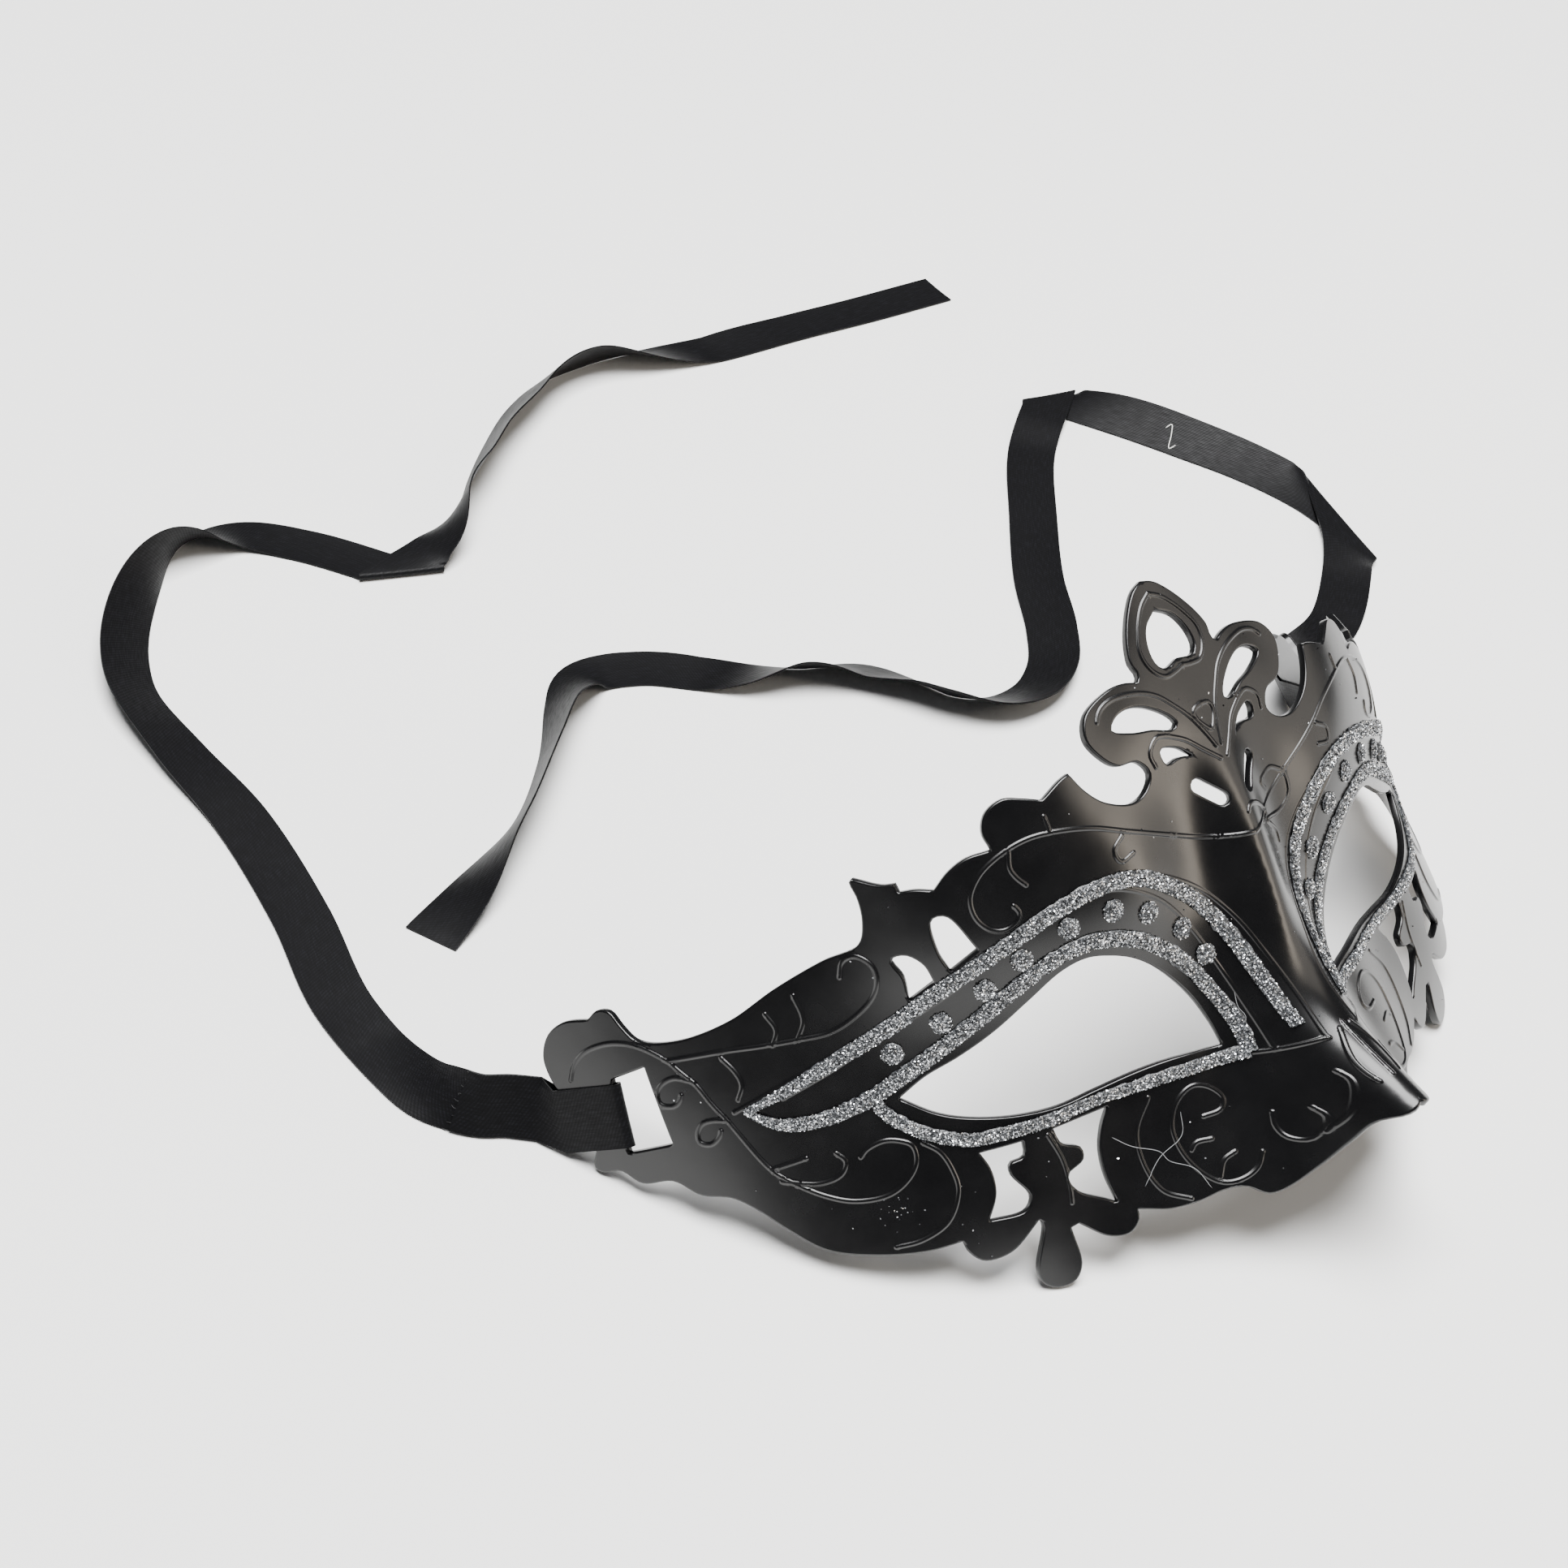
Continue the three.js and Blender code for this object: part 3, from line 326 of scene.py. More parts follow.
def flat(rows):
    """Pattern points in millimetres for rows of (across, up, ...)."""
    rows = np.array([row[:2] for row in rows], float)
    return np.column_stack([across(rows[:, 0]), up(rows[:, 1])])


section_x = across(SECTION_ACROSS)
mirrored_x = np.concatenate([-section_x[:0:-1], section_x])
section_curves = [natural_spline(mirrored_x, row[:0:-1] + row) for row in SECTIONS.values()]
height_curves = [natural_spline(up(list(SECTIONS)), row) for row in np.eye(len(SECTIONS))]

PLAN_STEP = 0.5
plan_s = np.arange(0, 1.4 * ACROSS_STOPS[-1], PLAN_STEP)
ease = np.clip((plan_s[:-1] + PLAN_STEP / 2 - FRONT_ARC) / (TEMPLE_ARC - FRONT_ARC), 0, 1)
plan_turn = np.concatenate([[0], np.cumsum(((1 - ease) / FRONT_RADIUS + ease / TEMPLE_RADIUS) * PLAN_STEP)])
plan_mean = (plan_turn[1:] + plan_turn[:-1]) / 2
plan_x = np.concatenate([[0], np.cumsum(np.cos(plan_mean) * PLAN_STEP)])
plan_y = np.concatenate([[0], np.cumsum(np.sin(plan_mean) * PLAN_STEP)])


def surface(x, y):
    """Outer surface before the mask leans back: x right, y into the face, z up."""
    back = FACE_DEPTH * sum(rise(y) * curve(x) for rise, curve in zip(height_curves, section_curves))
    s = np.abs(x)
    turn = np.interp(s, plan_s, plan_turn)
    out = np.interp(s, plan_s, plan_x) - np.sin(turn) * back
    deep = np.interp(s, plan_s, plan_y) + np.cos(turn) * back
    return np.column_stack([np.sign(x) * out, deep, y])


def lean(points):
    """Leans points back about the X axis."""
    c, s = math.cos(LEAN_BACK), math.sin(LEAN_BACK)
    x, y, z = points.T
    return np.column_stack([x, y * c + z * s, z * c - y * s])


def unit(vectors):
    return vectors / np.linalg.norm(vectors, axis=-1, keepdims=True)


PROBE = 0.05


def outward(x, y):
    along = surface(x + PROBE, y) - surface(x - PROBE, y)
    rise = surface(x, y + PROBE) - surface(x, y - PROBE)
    return lean(unit(np.cross(along, rise)))


origin = np.zeros(3)


def wrap(x, y, z):
    """Pattern points at height z over the outer surface, in the frame of the part."""
    x, y, z = np.broadcast_arrays(*(np.atleast_1d(np.asarray(v, float)) for v in (x, y, z)))
    return lean(surface(x, y)) + outward(x, y) * z[:, None] - origin


# %% [markdown]
# ## The edge of the mask and its openings
# These tables hold the right half of the pattern. A 1 in the third column marks a sharp corner, and
# between corners the edge is one smooth curve. The other half is the same, mirrored.

# %% Outline tables
OUTER_EDGE = [
    [0, 1.0, 1], [0.17, 0.98, 0], [0.34, 0.93, 0], [0.51, 0.855, 0], [0.61, 0.79, 0], [0.65, 0.74, 0],
    [0.62, 0.69, 0], [0.665, 0.67, 1], [0.86, 0.69, 0], [1.02, 0.69, 0], [1.13, 0.64, 0],
    [1.16, 0.56, 0], [1.13, 0.47, 0], [1.09, 0.42, 0], [1.02, 0.4, 0], [0.97, 0.34, 0], [1.02, 0.29, 0],
    [1.08, 0.27, 0], [1.17, 0.32, 0], [1.22, 0.39, 0], [1.255, 0.48, 1], [1.29, 0.47, 0],
    [1.36, 0.43, 1], [1.41, 0.46, 0], [1.47, 0.485, 0], [1.53, 0.455, 0], [1.555, 0.39, 0],
    [1.545, 0.32, 1], [1.62, 0.32, 0], [1.68, 0.29, 0], [1.73, 0.24, 1], [1.78, 0.26, 0],
    [1.825, 0.265, 1], [1.83, 0.3, 1], [1.87, 0.305, 0], [1.95, 0.35, 1], [1.96, 0.34, 0],
    [1.95, 0.27, 0], [1.955, 0.18, 0], [1.985, 0.1, 0], [2.1, 0.065, 0], [2.25, 0, 0], [2.4, -0.11, 0],
    [2.565, -0.16, 0], [2.68, -0.13, 0], [2.72, -0.05, 0], [2.75, 0.025, 0], [2.79, 0.035, 0],
    [2.825, 0.005, 1], [2.91, 0.005, 0], [2.97, -0.05, 0], [3, -0.16, 0], [2.99, -0.275, 0],
    [2.955, -0.4, 0], [2.893, -0.665, 1], [2.913, -0.75, 0], [2.89, -0.785, 0], [2.83, -0.785, 0],
    [2.77, -0.86, 0], [2.67, -0.867, 0], [2.6, -0.955, 0], [2.51, -0.995, 0], [2.45, -1.08, 0],
    [2.38, -1.22, 0], [2.29, -1.375, 0], [2.16, -1.467, 0], [2.03, -1.517, 0], [1.94, -1.52, 1],
    [1.935, -1.58, 0], [1.9, -1.67, 0], [1.82, -1.68, 0], [1.716, -1.56, 1], [1.71, -1.6, 0],
    [1.765, -1.85, 0], [1.76, -1.935, 0], [1.72, -1.995, 0], [1.665, -1.99, 0], [1.632, -1.91, 0],
    [1.631, -1.68, 1], [1.608, -1.675, 1], [1.53, -1.815, 0], [1.465, -1.84, 0], [1.425, -1.78, 0],
    [1.42, -1.73, 1], [1.385, -1.755, 0], [1.33, -1.79, 0], [1.245, -1.8, 0], [1.16, -1.785, 0],
    [1.1, -1.81, 0], [1.05, -1.885, 0], [0.97, -1.875, 0], [0.7, -1.795, 0], [0.49, -1.695, 0],
    [0.31, -1.6, 0], [0.17, -1.585, 0], [0, -1.545, 1],
]
OPENINGS = {
    "eye": [
        [1, -1.045, 1], [1.19, -1, 0], [1.43, -1, 0], [1.57, -0.995, 0], [1.76, -0.92, 0],
        [1.9, -0.82, 0], [2, -0.687, 1], [1.91, -0.615, 0], [1.8, -0.565, 0], [1.68, -0.495, 0],
        [1.56, -0.4, 0], [1.445, -0.31, 0], [1.365, -0.293, 0], [1.29, -0.333, 0], [1.205, -0.417, 0],
        [1.12, -0.56, 0], [1.045, -0.75, 0], [1.01, -0.92, 0],
    ],
    "crown_lobe": [
        [1.06, 0.55, 0], [1.03, 0.585, 0], [0.92, 0.595, 0], [0.7, 0.57, 0], [0.455, 0.503, 0],
        [0.4, 0.465, 0], [0.475, 0.452, 0], [0.73, 0.485, 0], [1.0, 0.51, 0],
    ],
    "crown_wedge": [
        [0.73, 0.4, 0], [0.51, 0.378, 0], [0.36, 0.327, 1], [0.53, 0.342, 0], [0.71, 0.34, 0],
    ],
    "brow_inner": [
        [1.76, 0.13, 0], [1.72, 0.13, 0], [1.661, -0.043, 1], [1.75, -0.11, 1], [1.767, 0, 0],
    ],
    "brow_outer": [
        [1.903, 0.016, 0], [1.86, 0.02, 0], [1.82, -0.04, 0], [1.805, -0.142, 1], [1.888, -0.203, 1],
        [1.883, -0.08, 0],
    ],
    "palmette_outer": [
        [1.695, -1.1, 1], [1.823, -1.075, 1], [1.805, -1.18, 0], [1.81, -1.32, 0], [1.851, -1.455, 1],
        [1.745, -1.475, 0], [1.72, -1.41, 0], [1.757, -1.25, 0], [1.75, -1.19, 0], [1.703, -1.18, 0],
    ],
    "palmette_inner": [
        [1.412, -1.12, 1], [1.596, -1.105, 1], [1.584, -1.2, 0], [1.53, -1.27, 0], [1.534, -1.34, 0],
        [1.595, -1.39, 0], [1.578, -1.495, 0], [1.5, -1.607, 0], [1.476, -1.642, 1], [1.486, -1.473, 0],
        [1.477, -1.326, 0], [1.449, -1.21, 0],
    ],
}
TEAR_OPENING = [
    [0, 0.88, 1], [0.22, 0.834, 0], [0.32, 0.765, 0], [0.32, 0.7, 0], [0.24, 0.67, 0], [0, 0.682, 1],
]
SLIT_ENDS = [[0.425, 0.21], [0.21, 0.125]]
SLIT_WIDTH = 2.1
SLIT_END_POINTS = 6
RIBBON_WIDTH = 10
SLOT_WIDTH = 7
SLOT_PLAY = 0.75
SLOT_SKEW = 0.9
SLOT_RISE = 1.2
EDGE_FINE = 0.75

slot_inner = float(across(2.66))
slot_outer = slot_inner + SLOT_WIDTH
slot_middle = float(up(-0.5))


def smooth_edge(rows, closed):
    """Points about EDGE_FINE apart on the edge through table rows."""
    points = flat(rows)
    corners = [i for i, row in enumerate(rows) if row[2]]
    if not corners:
        return evenly(catmull_rom(points, closed=True), EDGE_FINE)[:-1]
    runs = list(zip(corners, corners[1:] + ([corners[0] + len(rows)] if closed else [])))
    pieces = []
    for start, stop in runs:
        run = points[np.arange(start, stop + 1) % len(rows)]
        dense = catmull_rom(run) if len(run) > 2 else run
        pieces.append(evenly(dense, EDGE_FINE)[:-1])
    if not closed:
        pieces.append(points[-1:])
    return np.vstack(pieces)


def straight_edge(corners):
    ring = np.vstack([corners, corners[:1]])
    return np.vstack([evenly(ring[i:i + 2], EDGE_FINE)[:-1] for i in range(len(corners))])


def slit_edge():
    """The narrow slit below the crown, with round ends."""
    a, b = flat(SLIT_ENDS)
    way = (b - a) / np.linalg.norm(b - a)
    side = np.array([-way[1], way[0]])
    ends = []
    for centre, sign in ((b, 1), (a, -1)):
        for turn in np.linspace(0, np.pi, SLIT_END_POINTS):
            ends.append(centre + sign * SLIT_WIDTH / 2 * (side * math.cos(turn) + way * math.sin(turn)))
    return straight_edge(np.array(ends))


half_slot = RIBBON_WIDTH / 2 + SLOT_PLAY
slot_edge = straight_edge(np.array([
    [slot_inner + SLOT_SKEW, slot_middle + half_slot + SLOT_RISE],
    [slot_inner - SLOT_SKEW, slot_middle - half_slot + SLOT_RISE / 2],
    [slot_outer, slot_middle - half_slot],
    [slot_outer, slot_middle + half_slot],
]))
outer = smooth_edge(OUTER_EDGE, closed=False)
tear = smooth_edge(TEAR_OPENING, closed=False)
hole_edges = [smooth_edge(rows, closed=True) for rows in OPENINGS.values()] + [slot_edge, slit_edge()]

rim_points = np.vstack([wrap(*outer.T, 0), wrap(*outer.T, -WALL)])
origin = np.array([0, (rim_points[:, 1].min() + rim_points[:, 1].max()) / 2, rim_points[:, 2].min()])
shell_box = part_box("mask_shell")
print("edge points of the right half", len(outer), "openings", 2 * len(hole_edges) + 1)
print("lowest y of the edge", round(rim_points[:, 1].min() - origin[1], 2), "mm, in the plain model",
      round(shell_box[0][1] / MM, 2))

# %% [markdown]
# ## The ribbons
# Each ribbon is one strip of satin. Its short end lies on the front of the wing, wraps the bar beside
# the slot and leaves from behind, and the long end runs over the table as it fell. A strip on a curve
# with a tilt could make it, but a ribbon also folds over at a crease, so it is built from stations: a
# middle point, half the width as a vector, and the way the face looks. A route row gives x, y and the
# roll in degrees: the left edge is raised where it is positive, and at 180 the ribbon is turned over. The
# number before a route says whether its leg lies on top of the one before (1) or under it (-1).

# %% Ribbon routes
SATIN_THICK = 0.3
SATIN_CLEAR = 0.15
RIBBON_STEP = 1.25
FOLD_FADE = 2
FOLD_CLEAR = 9
FOLD_RAMP = 12
FOLD_TURNS = 8
FOLD_RADIUS = 0.45
ROUTE_FINE = 40
FRONT_STATIONS = 11
BAR_END = 2.985
BAR_STATIONS = 7
LOOP_STATIONS = 9
RIBBON_LEFT = [
    (0, [
        [-89.8, 46.8, -56], [-93.2, 50, -60], [-97, 53, -60], [-99.7, 60, -34], [-100, 69, -8],
        [-98.5, 87, 0], [-92, 108, 0], [-86.5, 134, 2], [-85.5, 154, 14], [-83.7, 171.5, 27],
        [-80, 180.5, 32], [-74.5, 188.5, 40], [-67.5, 195.5, 54], [-61, 199.8, 78], [-54.5, 202.6, 112],
        [-46.5, 204, 156], [-39.5, 202, 174], [-32, 193.5, 180], [-22, 175, 180],
    ]),
    (1, [
        [-22, 175, 0], [-11, 177.5, -20], [-2, 183, -66], [9, 191, -62], [20, 199, -55], [32, 206, -45],
        [43, 210.3, -52], [55, 210.5, -54], [67, 207, -25], [82, 203, 0], [102, 200, 0], [122, 196.5, 0],
        [142.5, 193.5, 0],
    ]),
]
RIBBON_RIGHT = [
    (0, [
        [89.8, 46.8, 56], [93.8, 49.4, 56], [99.5, 51, 45], [109, 53.5, 18], [121, 57.5, 0],
        [132, 64, 0], [141, 71, 0], [148.5, 79.5, 0],
    ]),
    (-1, [
        [148.5, 79.5, 0], [148.9, 91, -16], [146.3, 104, -24], [141.5, 117.5, -30], [136.5, 131, -28],
        [130.5, 146.5, 0],
    ]),
    (1, [
        [130.5, 146.5, 0], [112, 134, 0], [95, 117, 0], [80, 101, 8], [70, 88, 14], [62, 80, 16],
        [53, 76, 22], [44, 77, 32], [37.5, 83, 44], [34, 91, 36], [29.5, 99, 26], [20, 105.5, 45],
        [12, 111, 20], [5, 118.5, 0], [-3, 126, 0], [-13, 129.5, 5], [-22, 124.5, 40], [-34, 114, 65],
        [-48, 103.5, 66], [-58, 98.5, 50], [-68, 94, 20], [-78, 90.5, 0],
    ]),
]


# %% [markdown]
# The legs between folds follow the route. A fold is half a turn about the crease, which halves the
# angle between two legs, and the leg that lies on top comes down to the table again a little further on.

# %% Ribbon stations


def smoothstep(x, low, high):
    t = np.clip((x - low) / (high - low), 0, 1)
    return t * t * (3 - 2 * t)


def leg_stations(route, start_fold, end_fold):
    """Middle points, half-width vectors and normals along one leg on the table."""
    route = np.array(route, float)
    dense = catmull_rom(route[:, :2], fine=ROUTE_FINE)
    along = lengths_along(dense)
    total = along[-1]
    rolls = natural_spline(along[::ROUTE_FINE] / total, route[:, 2])
    count = round(total / RIBBON_STEP)
    marks = np.linspace(0, total, count + 1)
    points = np.column_stack([np.interp(marks, along, dense[:, 0]), np.interp(marks, along, dense[:, 1]),
                              np.zeros(count + 1)])
    heading = unit(np.gradient(points, axis=0))
    roll = np.radians(rolls(marks / total))[:, None]
    left = np.column_stack([-heading[:, 1], heading[:, 0], np.zeros(count + 1)])
    edge = left * np.cos(roll) + np.array([0, 0, 1]) * np.sin(roll)
    normal = unit(np.cross(heading, edge))
    half = edge * RIBBON_WIDTH / 2
    roll = roll[:, 0]
    points[:, 2] = RIBBON_WIDTH / 2 * np.abs(np.sin(roll)) + SATIN_THICK / 2 * np.abs(np.cos(roll))
    for fold, reach in ((start_fold, marks), (end_fold, total - marks)):
        if fold is None:
            continue
        skew, lift = fold
        shift = RIBBON_WIDTH / 2 * skew
        fade = np.maximum(0, 1 - reach / (abs(shift) + FOLD_FADE))
        half += heading * (shift * fade * np.sign(np.cos(roll)))[:, None]
        points[:, 2] += lift * smoothstep(FOLD_CLEAR + FOLD_RAMP - reach, 0, FOLD_RAMP)
    return points, half, normal


def fold_stations(end, start, ahead):
    """Half a turn of the ribbon from the end of one leg to the start of the next."""
    (a, half, normal), b = end, start[0]
    radius = (b[2] - a[2]) / 2
    crease = unit(half * [1, 1, 0])
    reach = np.cross(crease, [0, 0, 1])
    reach *= np.sign(reach @ ahead)
    turns = np.pi * np.arange(1, FOLD_TURNS)[:, None] / FOLD_TURNS
    points = (a + b) / 2 + reach * abs(radius) * np.sin(turns) - np.array([0, 0, radius]) * np.cos(turns)
    normals = np.array([0, 0, normal[2]]) * np.cos(turns)
    normals = unit(normals - reach * np.sign(radius) * normal[2] * np.sin(turns))
    return points, np.repeat(half[None], FOLD_TURNS - 1, 0), normals


def bar_loop(sign, first_points, first_half, first_normal):
    """The short end on the front of the wing, round the bar and out behind it."""
    offset = SATIN_CLEAR + SATIN_THICK / 2
    bar_end = float(across(BAR_END))
    away = -first_normal[:FRONT_STATIONS][::-1]
    front = first_points[:FRONT_STATIONS][::-1] + away * (SATIN_THICK + SATIN_CLEAR)
    stations = list(zip(front, first_half[:FRONT_STATIONS][::-1], away))

    def place(x, z, turn):
        point = wrap(sign * x, slot_middle, z)[0]
        axis = -sign * unit(wrap(sign * x, slot_middle + 1, z)[0] - point)
        face = outward(np.array([sign * x]), np.array([slot_middle]))[0]
        sideways = np.cross(axis, face)
        stations.append((point, axis * RIBBON_WIDTH / 2, face * math.cos(turn) + sideways * math.sin(turn)))

    for x in np.linspace(bar_end, slot_outer, BAR_STATIONS)[:-1]:
        place(x, offset, 0)
    radius = WALL / 2 + offset
    for turn in np.linspace(0, np.pi, LOOP_STATIONS):
        place(slot_outer - radius * math.sin(turn), -WALL / 2 + radius * math.cos(turn), turn)
    for x in np.linspace(slot_outer, bar_end, BAR_STATIONS)[1:]:
        place(x, -WALL - offset, np.pi)
    return [np.array(column) for column in zip(*stations)]


def ribbon_stations(legs, sign):
    """All stations of a ribbon, from its short end on the wing to its cut end."""
    ways = []
    for _, route in legs:
        ends = np.array([[route[0], route[1]], [route[-2], route[-1]]])[:, :, :2]
        ways.append(unit(ends[:, 1] - ends[:, 0]))
    folds = []
    for i, (over, _) in enumerate(legs[1:]):
        before, after = ways[i][1], ways[i + 1][0]
        crease = before + after
        skew = (crease @ before) / (crease[1] * before[0] - crease[0] * before[1])
        lift = SATIN_THICK + 2 * FOLD_RADIUS
        folds.append(((skew, lift if over < 0 else 0), (-skew, lift if over > 0 else 0)))
    face = -1
    run = []
    for i, (_, route) in enumerate(legs):
        start_fold = folds[i - 1][1] if i > 0 else None
        end_fold = folds[i][0] if i < len(folds) else None
        points, half, normal = leg_stations(route, start_fold, end_fold)
        leg = [points, half * face, normal * face]
        if i > 0:
            before = [column[-1] for column in run[-1]]
            run.append(fold_stations(before, [column[0] for column in leg], np.append(ways[i - 1][1], 0)))
        run.append(leg)
        face *= -np.sign(math.cos(math.radians(route[-1][2])))
    run.insert(0, bar_loop(sign, *run[0]))
    return [np.vstack([part[k] for part in run]) for k in range(3)]


# %% [markdown]
# The strip gets a thickness, a slight curl across its width and soft unevenness along its length, so
# that it catches light like cloth. Its UV map is in millimetres, which keeps the weave at one scale.

# %% Ribbon strips
ACROSS_PARTS = 10
CURL = 0.16
WANDER = 0.1
WANDER_LONG = 7
WANDER_SHORT = 3.1
LEAST_HEIGHT = 0.02
RIBBON_CREASE = math.radians(50)


def ribbon_strip(name, legs, sign, node):
    middle, half, normal = ribbon_stations(legs, sign)
    count = len(middle)
    along = lengths_along(middle)
    shares = np.linspace(-1, 1, ACROSS_PARTS + 1)
    waves = chance.uniform(0, 2 * np.pi, 3)
    crown = WANDER * (np.sin(along / WANDER_LONG + waves[0]) + 0.6 * np.sin(along / WANDER_SHORT + waves[1]))
    rows = []
    for face in (1, -1):
        for share in shares:
            lift = np.maximum(CURL * share ** 2 + crown * 0.5 * (1 - share ** 2), 0)[:, None]
            rows.append(middle + half * share + normal * (face * SATIN_THICK / 2) + lift * [0, 0, 1])
    grid = np.array(rows)
    wide = len(grid)
    points = grid.transpose(1, 0, 2).reshape(-1, 3)
    points[:, 2] = np.maximum(points[:, 2], LEAST_HEIGHT)
    ids = np.arange(count * wide).reshape(count, wide)
    front, back = np.split(np.arange(wide), 2)
    around = np.concatenate([front, back[::-1]])
    ahead = np.roll(around, -1)
    sides = [ids[:-1, around], ids[1:, around], ids[1:, ahead], ids[:-1, ahead]]
    caps = np.stack([front[:-1], front[1:], back[1:], back[:-1]], axis=1)
    faces = np.stack(sides, axis=-1).reshape(-1, 4).tolist()
    faces += caps.tolist() + ids[-1][caps[:, ::-1]].tolist()
    strip = make_piece(name, points, faces, [satin], "black_satin")
    uv = strip.data.uv_layers.new(name="ribbon_mm")
    place = np.column_stack([np.repeat(along, wide), np.tile(np.tile(shares * RIBBON_WIDTH / 2, 2), count)])
    corners = np.zeros(len(strip.data.loops), int)
    strip.data.loops.foreach_get("vertex_index", corners)
    uv.data.foreach_set("uv", place[corners].ravel())
    strip.data.set_sharp_from_angle(angle=RIBBON_CREASE)
    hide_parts(node)
    return middle, half, normal


left_run = ribbon_strip("satin_ribbon_left", RIBBON_LEFT, -1, "ribbon_left")
right_run = ribbon_strip("satin_ribbon_right", RIBBON_RIGHT, 1, "ribbon_right")

# %% [markdown]
# ## Raised lines of the moulding
# The mould has fine lines cut in it, so they stand out on the mask as thin rounded ridges, about 0.9 mm
# wide and 0.2 mm high. The lists give their routes as places in zones. Most lines are the same on both
# sides. The curls beside the middle of the brow are on the right side alone.

# %% Raised lines
LINES = [
    [[0, -0.055], [0.24, -0.03], [0.58, 0.02], [1.01, 0.1], [1.13, 0.18], [1.25, 0.26], [1.37, 0.305],
     [1.45, 0.312], [1.54, 0.284], [1.6, 0.24], [1.64, 0.17], [1.64, 0.09], [1.61, 0.03], [1.57, 0.01],
     [1.53, 0.03], [1.52, 0.06], [1.53, 0.09]],
    [[1.37, 0.305], [1.372, 0.37]],
    [[1.5, 0.29], [1.51, 0.23], [1.5, 0.19], [1.48, 0.15]],
    [[1.16, 0.18], [1.2, 0.14], [1.19, 0.09], [1.14, 0.1]],
    [[0.05, 0.27], [0.21, 0.33], [0.37, 0.39], [0.5, 0.42], [0.61, 0.44], [0.73, 0.45], [0.83, 0.43],
     [0.89, 0.4], [0.87, 0.35]],
    [[0.04, 0.32], [0.11, 0.39], [0.22, 0.47], [0.35, 0.53], [0.51, 0.59], [0.72, 0.63], [0.97, 0.65],
     [1.04, 0.65], [1.08, 0.63], [1.1, 0.6]],
    [[0.21, -1.14], [0.61, -1.14], [0.93, -1.12]],
    [[0.08, -1.12], [0.15, -1.21], [0.18, -1.28], [0.17, -1.35], [0.14, -1.4]],
    [[2.6, -0.25], [2.42, -0.25], [2.33, -0.26], [2.21, -0.27], [2.13, -0.27], [2.06, -0.23],
     [1.99, -0.15], [1.96, -0.07], [1.96, 0.01], [2, 0.06], [2.04, 0.05], [2.06, -0.01]],
    [[2.29, -0.27], [2.27, -0.2], [2.29, -0.11]],
    [[2.22, -0.27], [2.19, -0.18], [2.2, -0.05]],
    [[2.92, -0.29], [2.9, -0.22], [2.86, -0.16], [2.8, -0.13], [2.74, -0.13], [2.68, -0.16],
     [2.6, -0.25], [2.57, -0.31], [2.53, -0.39], [2.5, -0.49], [2.46, -0.61], [2.38, -0.88],
     [2.33, -0.97], [2.25, -1.08], [2.18, -1.14], [2.09, -1.15], [2.03, -1.09], [2, -1.01], [2, -0.93],
     [2.03, -0.89], [2.07, -0.87], [2.12, -0.89], [2.14, -0.92]],
    [[2.54, -0.37], [2.59, -0.34], [2.63, -0.36], [2.65, -0.4], [2.65, -0.46], [2.61, -0.48],
     [2.59, -0.46], [2.58, -0.43]],
    [[2.47, -0.59], [2.51, -0.58], [2.54, -0.59], [2.56, -0.64], [2.56, -0.68], [2.53, -0.7],
     [2.5, -0.67], [2.49, -0.64]],
    [[2.44, -0.28], [2.41, -0.36], [2.4, -0.43], [2.42, -0.5]],
    [[2.11, -1.44], [2.04, -1.44], [1.96, -1.38], [1.91, -1.23], [1.91, -1.12], [1.93, -1], [1.97, -0.93]],
    [[2.38, -0.88], [2.28, -0.86]],
    [[2.36, -0.95], [2.26, -1], [2.2, -0.98], [2.18, -0.92], [2.2, -0.87]],
    [[1.28, -1.16], [1.35, -1.32], [1.36, -1.52], [1.33, -1.68], [1.26, -1.77]],
    [[1.14, -1.37], [1.08, -1.37], [1.06, -1.32], [1.09, -1.23], [1.14, -1.19], [1.2, -1.24],
     [1.24, -1.36], [1.24, -1.5], [1.21, -1.64], [1.16, -1.74], [1.1, -1.76], [1.05, -1.73],
     [1.02, -1.66]],
    [[1.21, -1.52], [1.19, -1.49], [1.14, -1.5]],
    [[1.09, -1.61], [1.13, -1.63], [1.16, -1.71]],
    [[0.84, -1.47], [0.87, -1.55], [0.82, -1.62], [0.69, -1.65], [0.59, -1.61], [0.52, -1.54],
     [0.57, -1.48]],
    [[0.57, -1.62], [0.42, -1.55], [0.32, -1.45], [0.28, -1.36], [0.32, -1.31]],
    [[1.62, -1.12], [1.6, -1.28], [1.6, -1.42], [1.61, -1.54]],
]
FINE_LINES = [
    [[0.22, -1.14], [0.22, -0.91], [0.31, -0.67], [0.46, -0.43], [0.72, -0.24], [1.03, -0.09],
     [1.14, 0.01], [1.26, 0.05], [1.36, 0.04], [1.48, 0], [1.6, -0.07], [1.74, -0.16], [1.92, -0.27],
     [2.1, -0.37], [2.25, -0.45], [2.37, -0.52], [2.44, -0.56]],
    [[0.6, -1.14], [0.64, -0.95], [0.74, -0.71], [0.96, -0.42], [1.06, -0.22], [1.14, -0.09],
     [1.23, 0], [1.32, 0.02], [1.42, 0], [1.53, -0.06], [1.69, -0.16], [1.82, -0.25], [1.98, -0.34],
     [2.14, -0.45], [2.3, -0.54]],
]
MIDDLE_RINGS = [
    [[0, 0.945], [0.16, 0.915], [0.29, 0.87], [0.39, 0.82], [0.47, 0.76], [0.46, 0.71], [0.4, 0.67],
     [0.29, 0.64], [0.14, 0.64], [0, 0.65]],
    [[0, 0.49], [0.12, 0.48], [0.14, 0.45], [0.03, 0.39], [0, 0.385]],
]
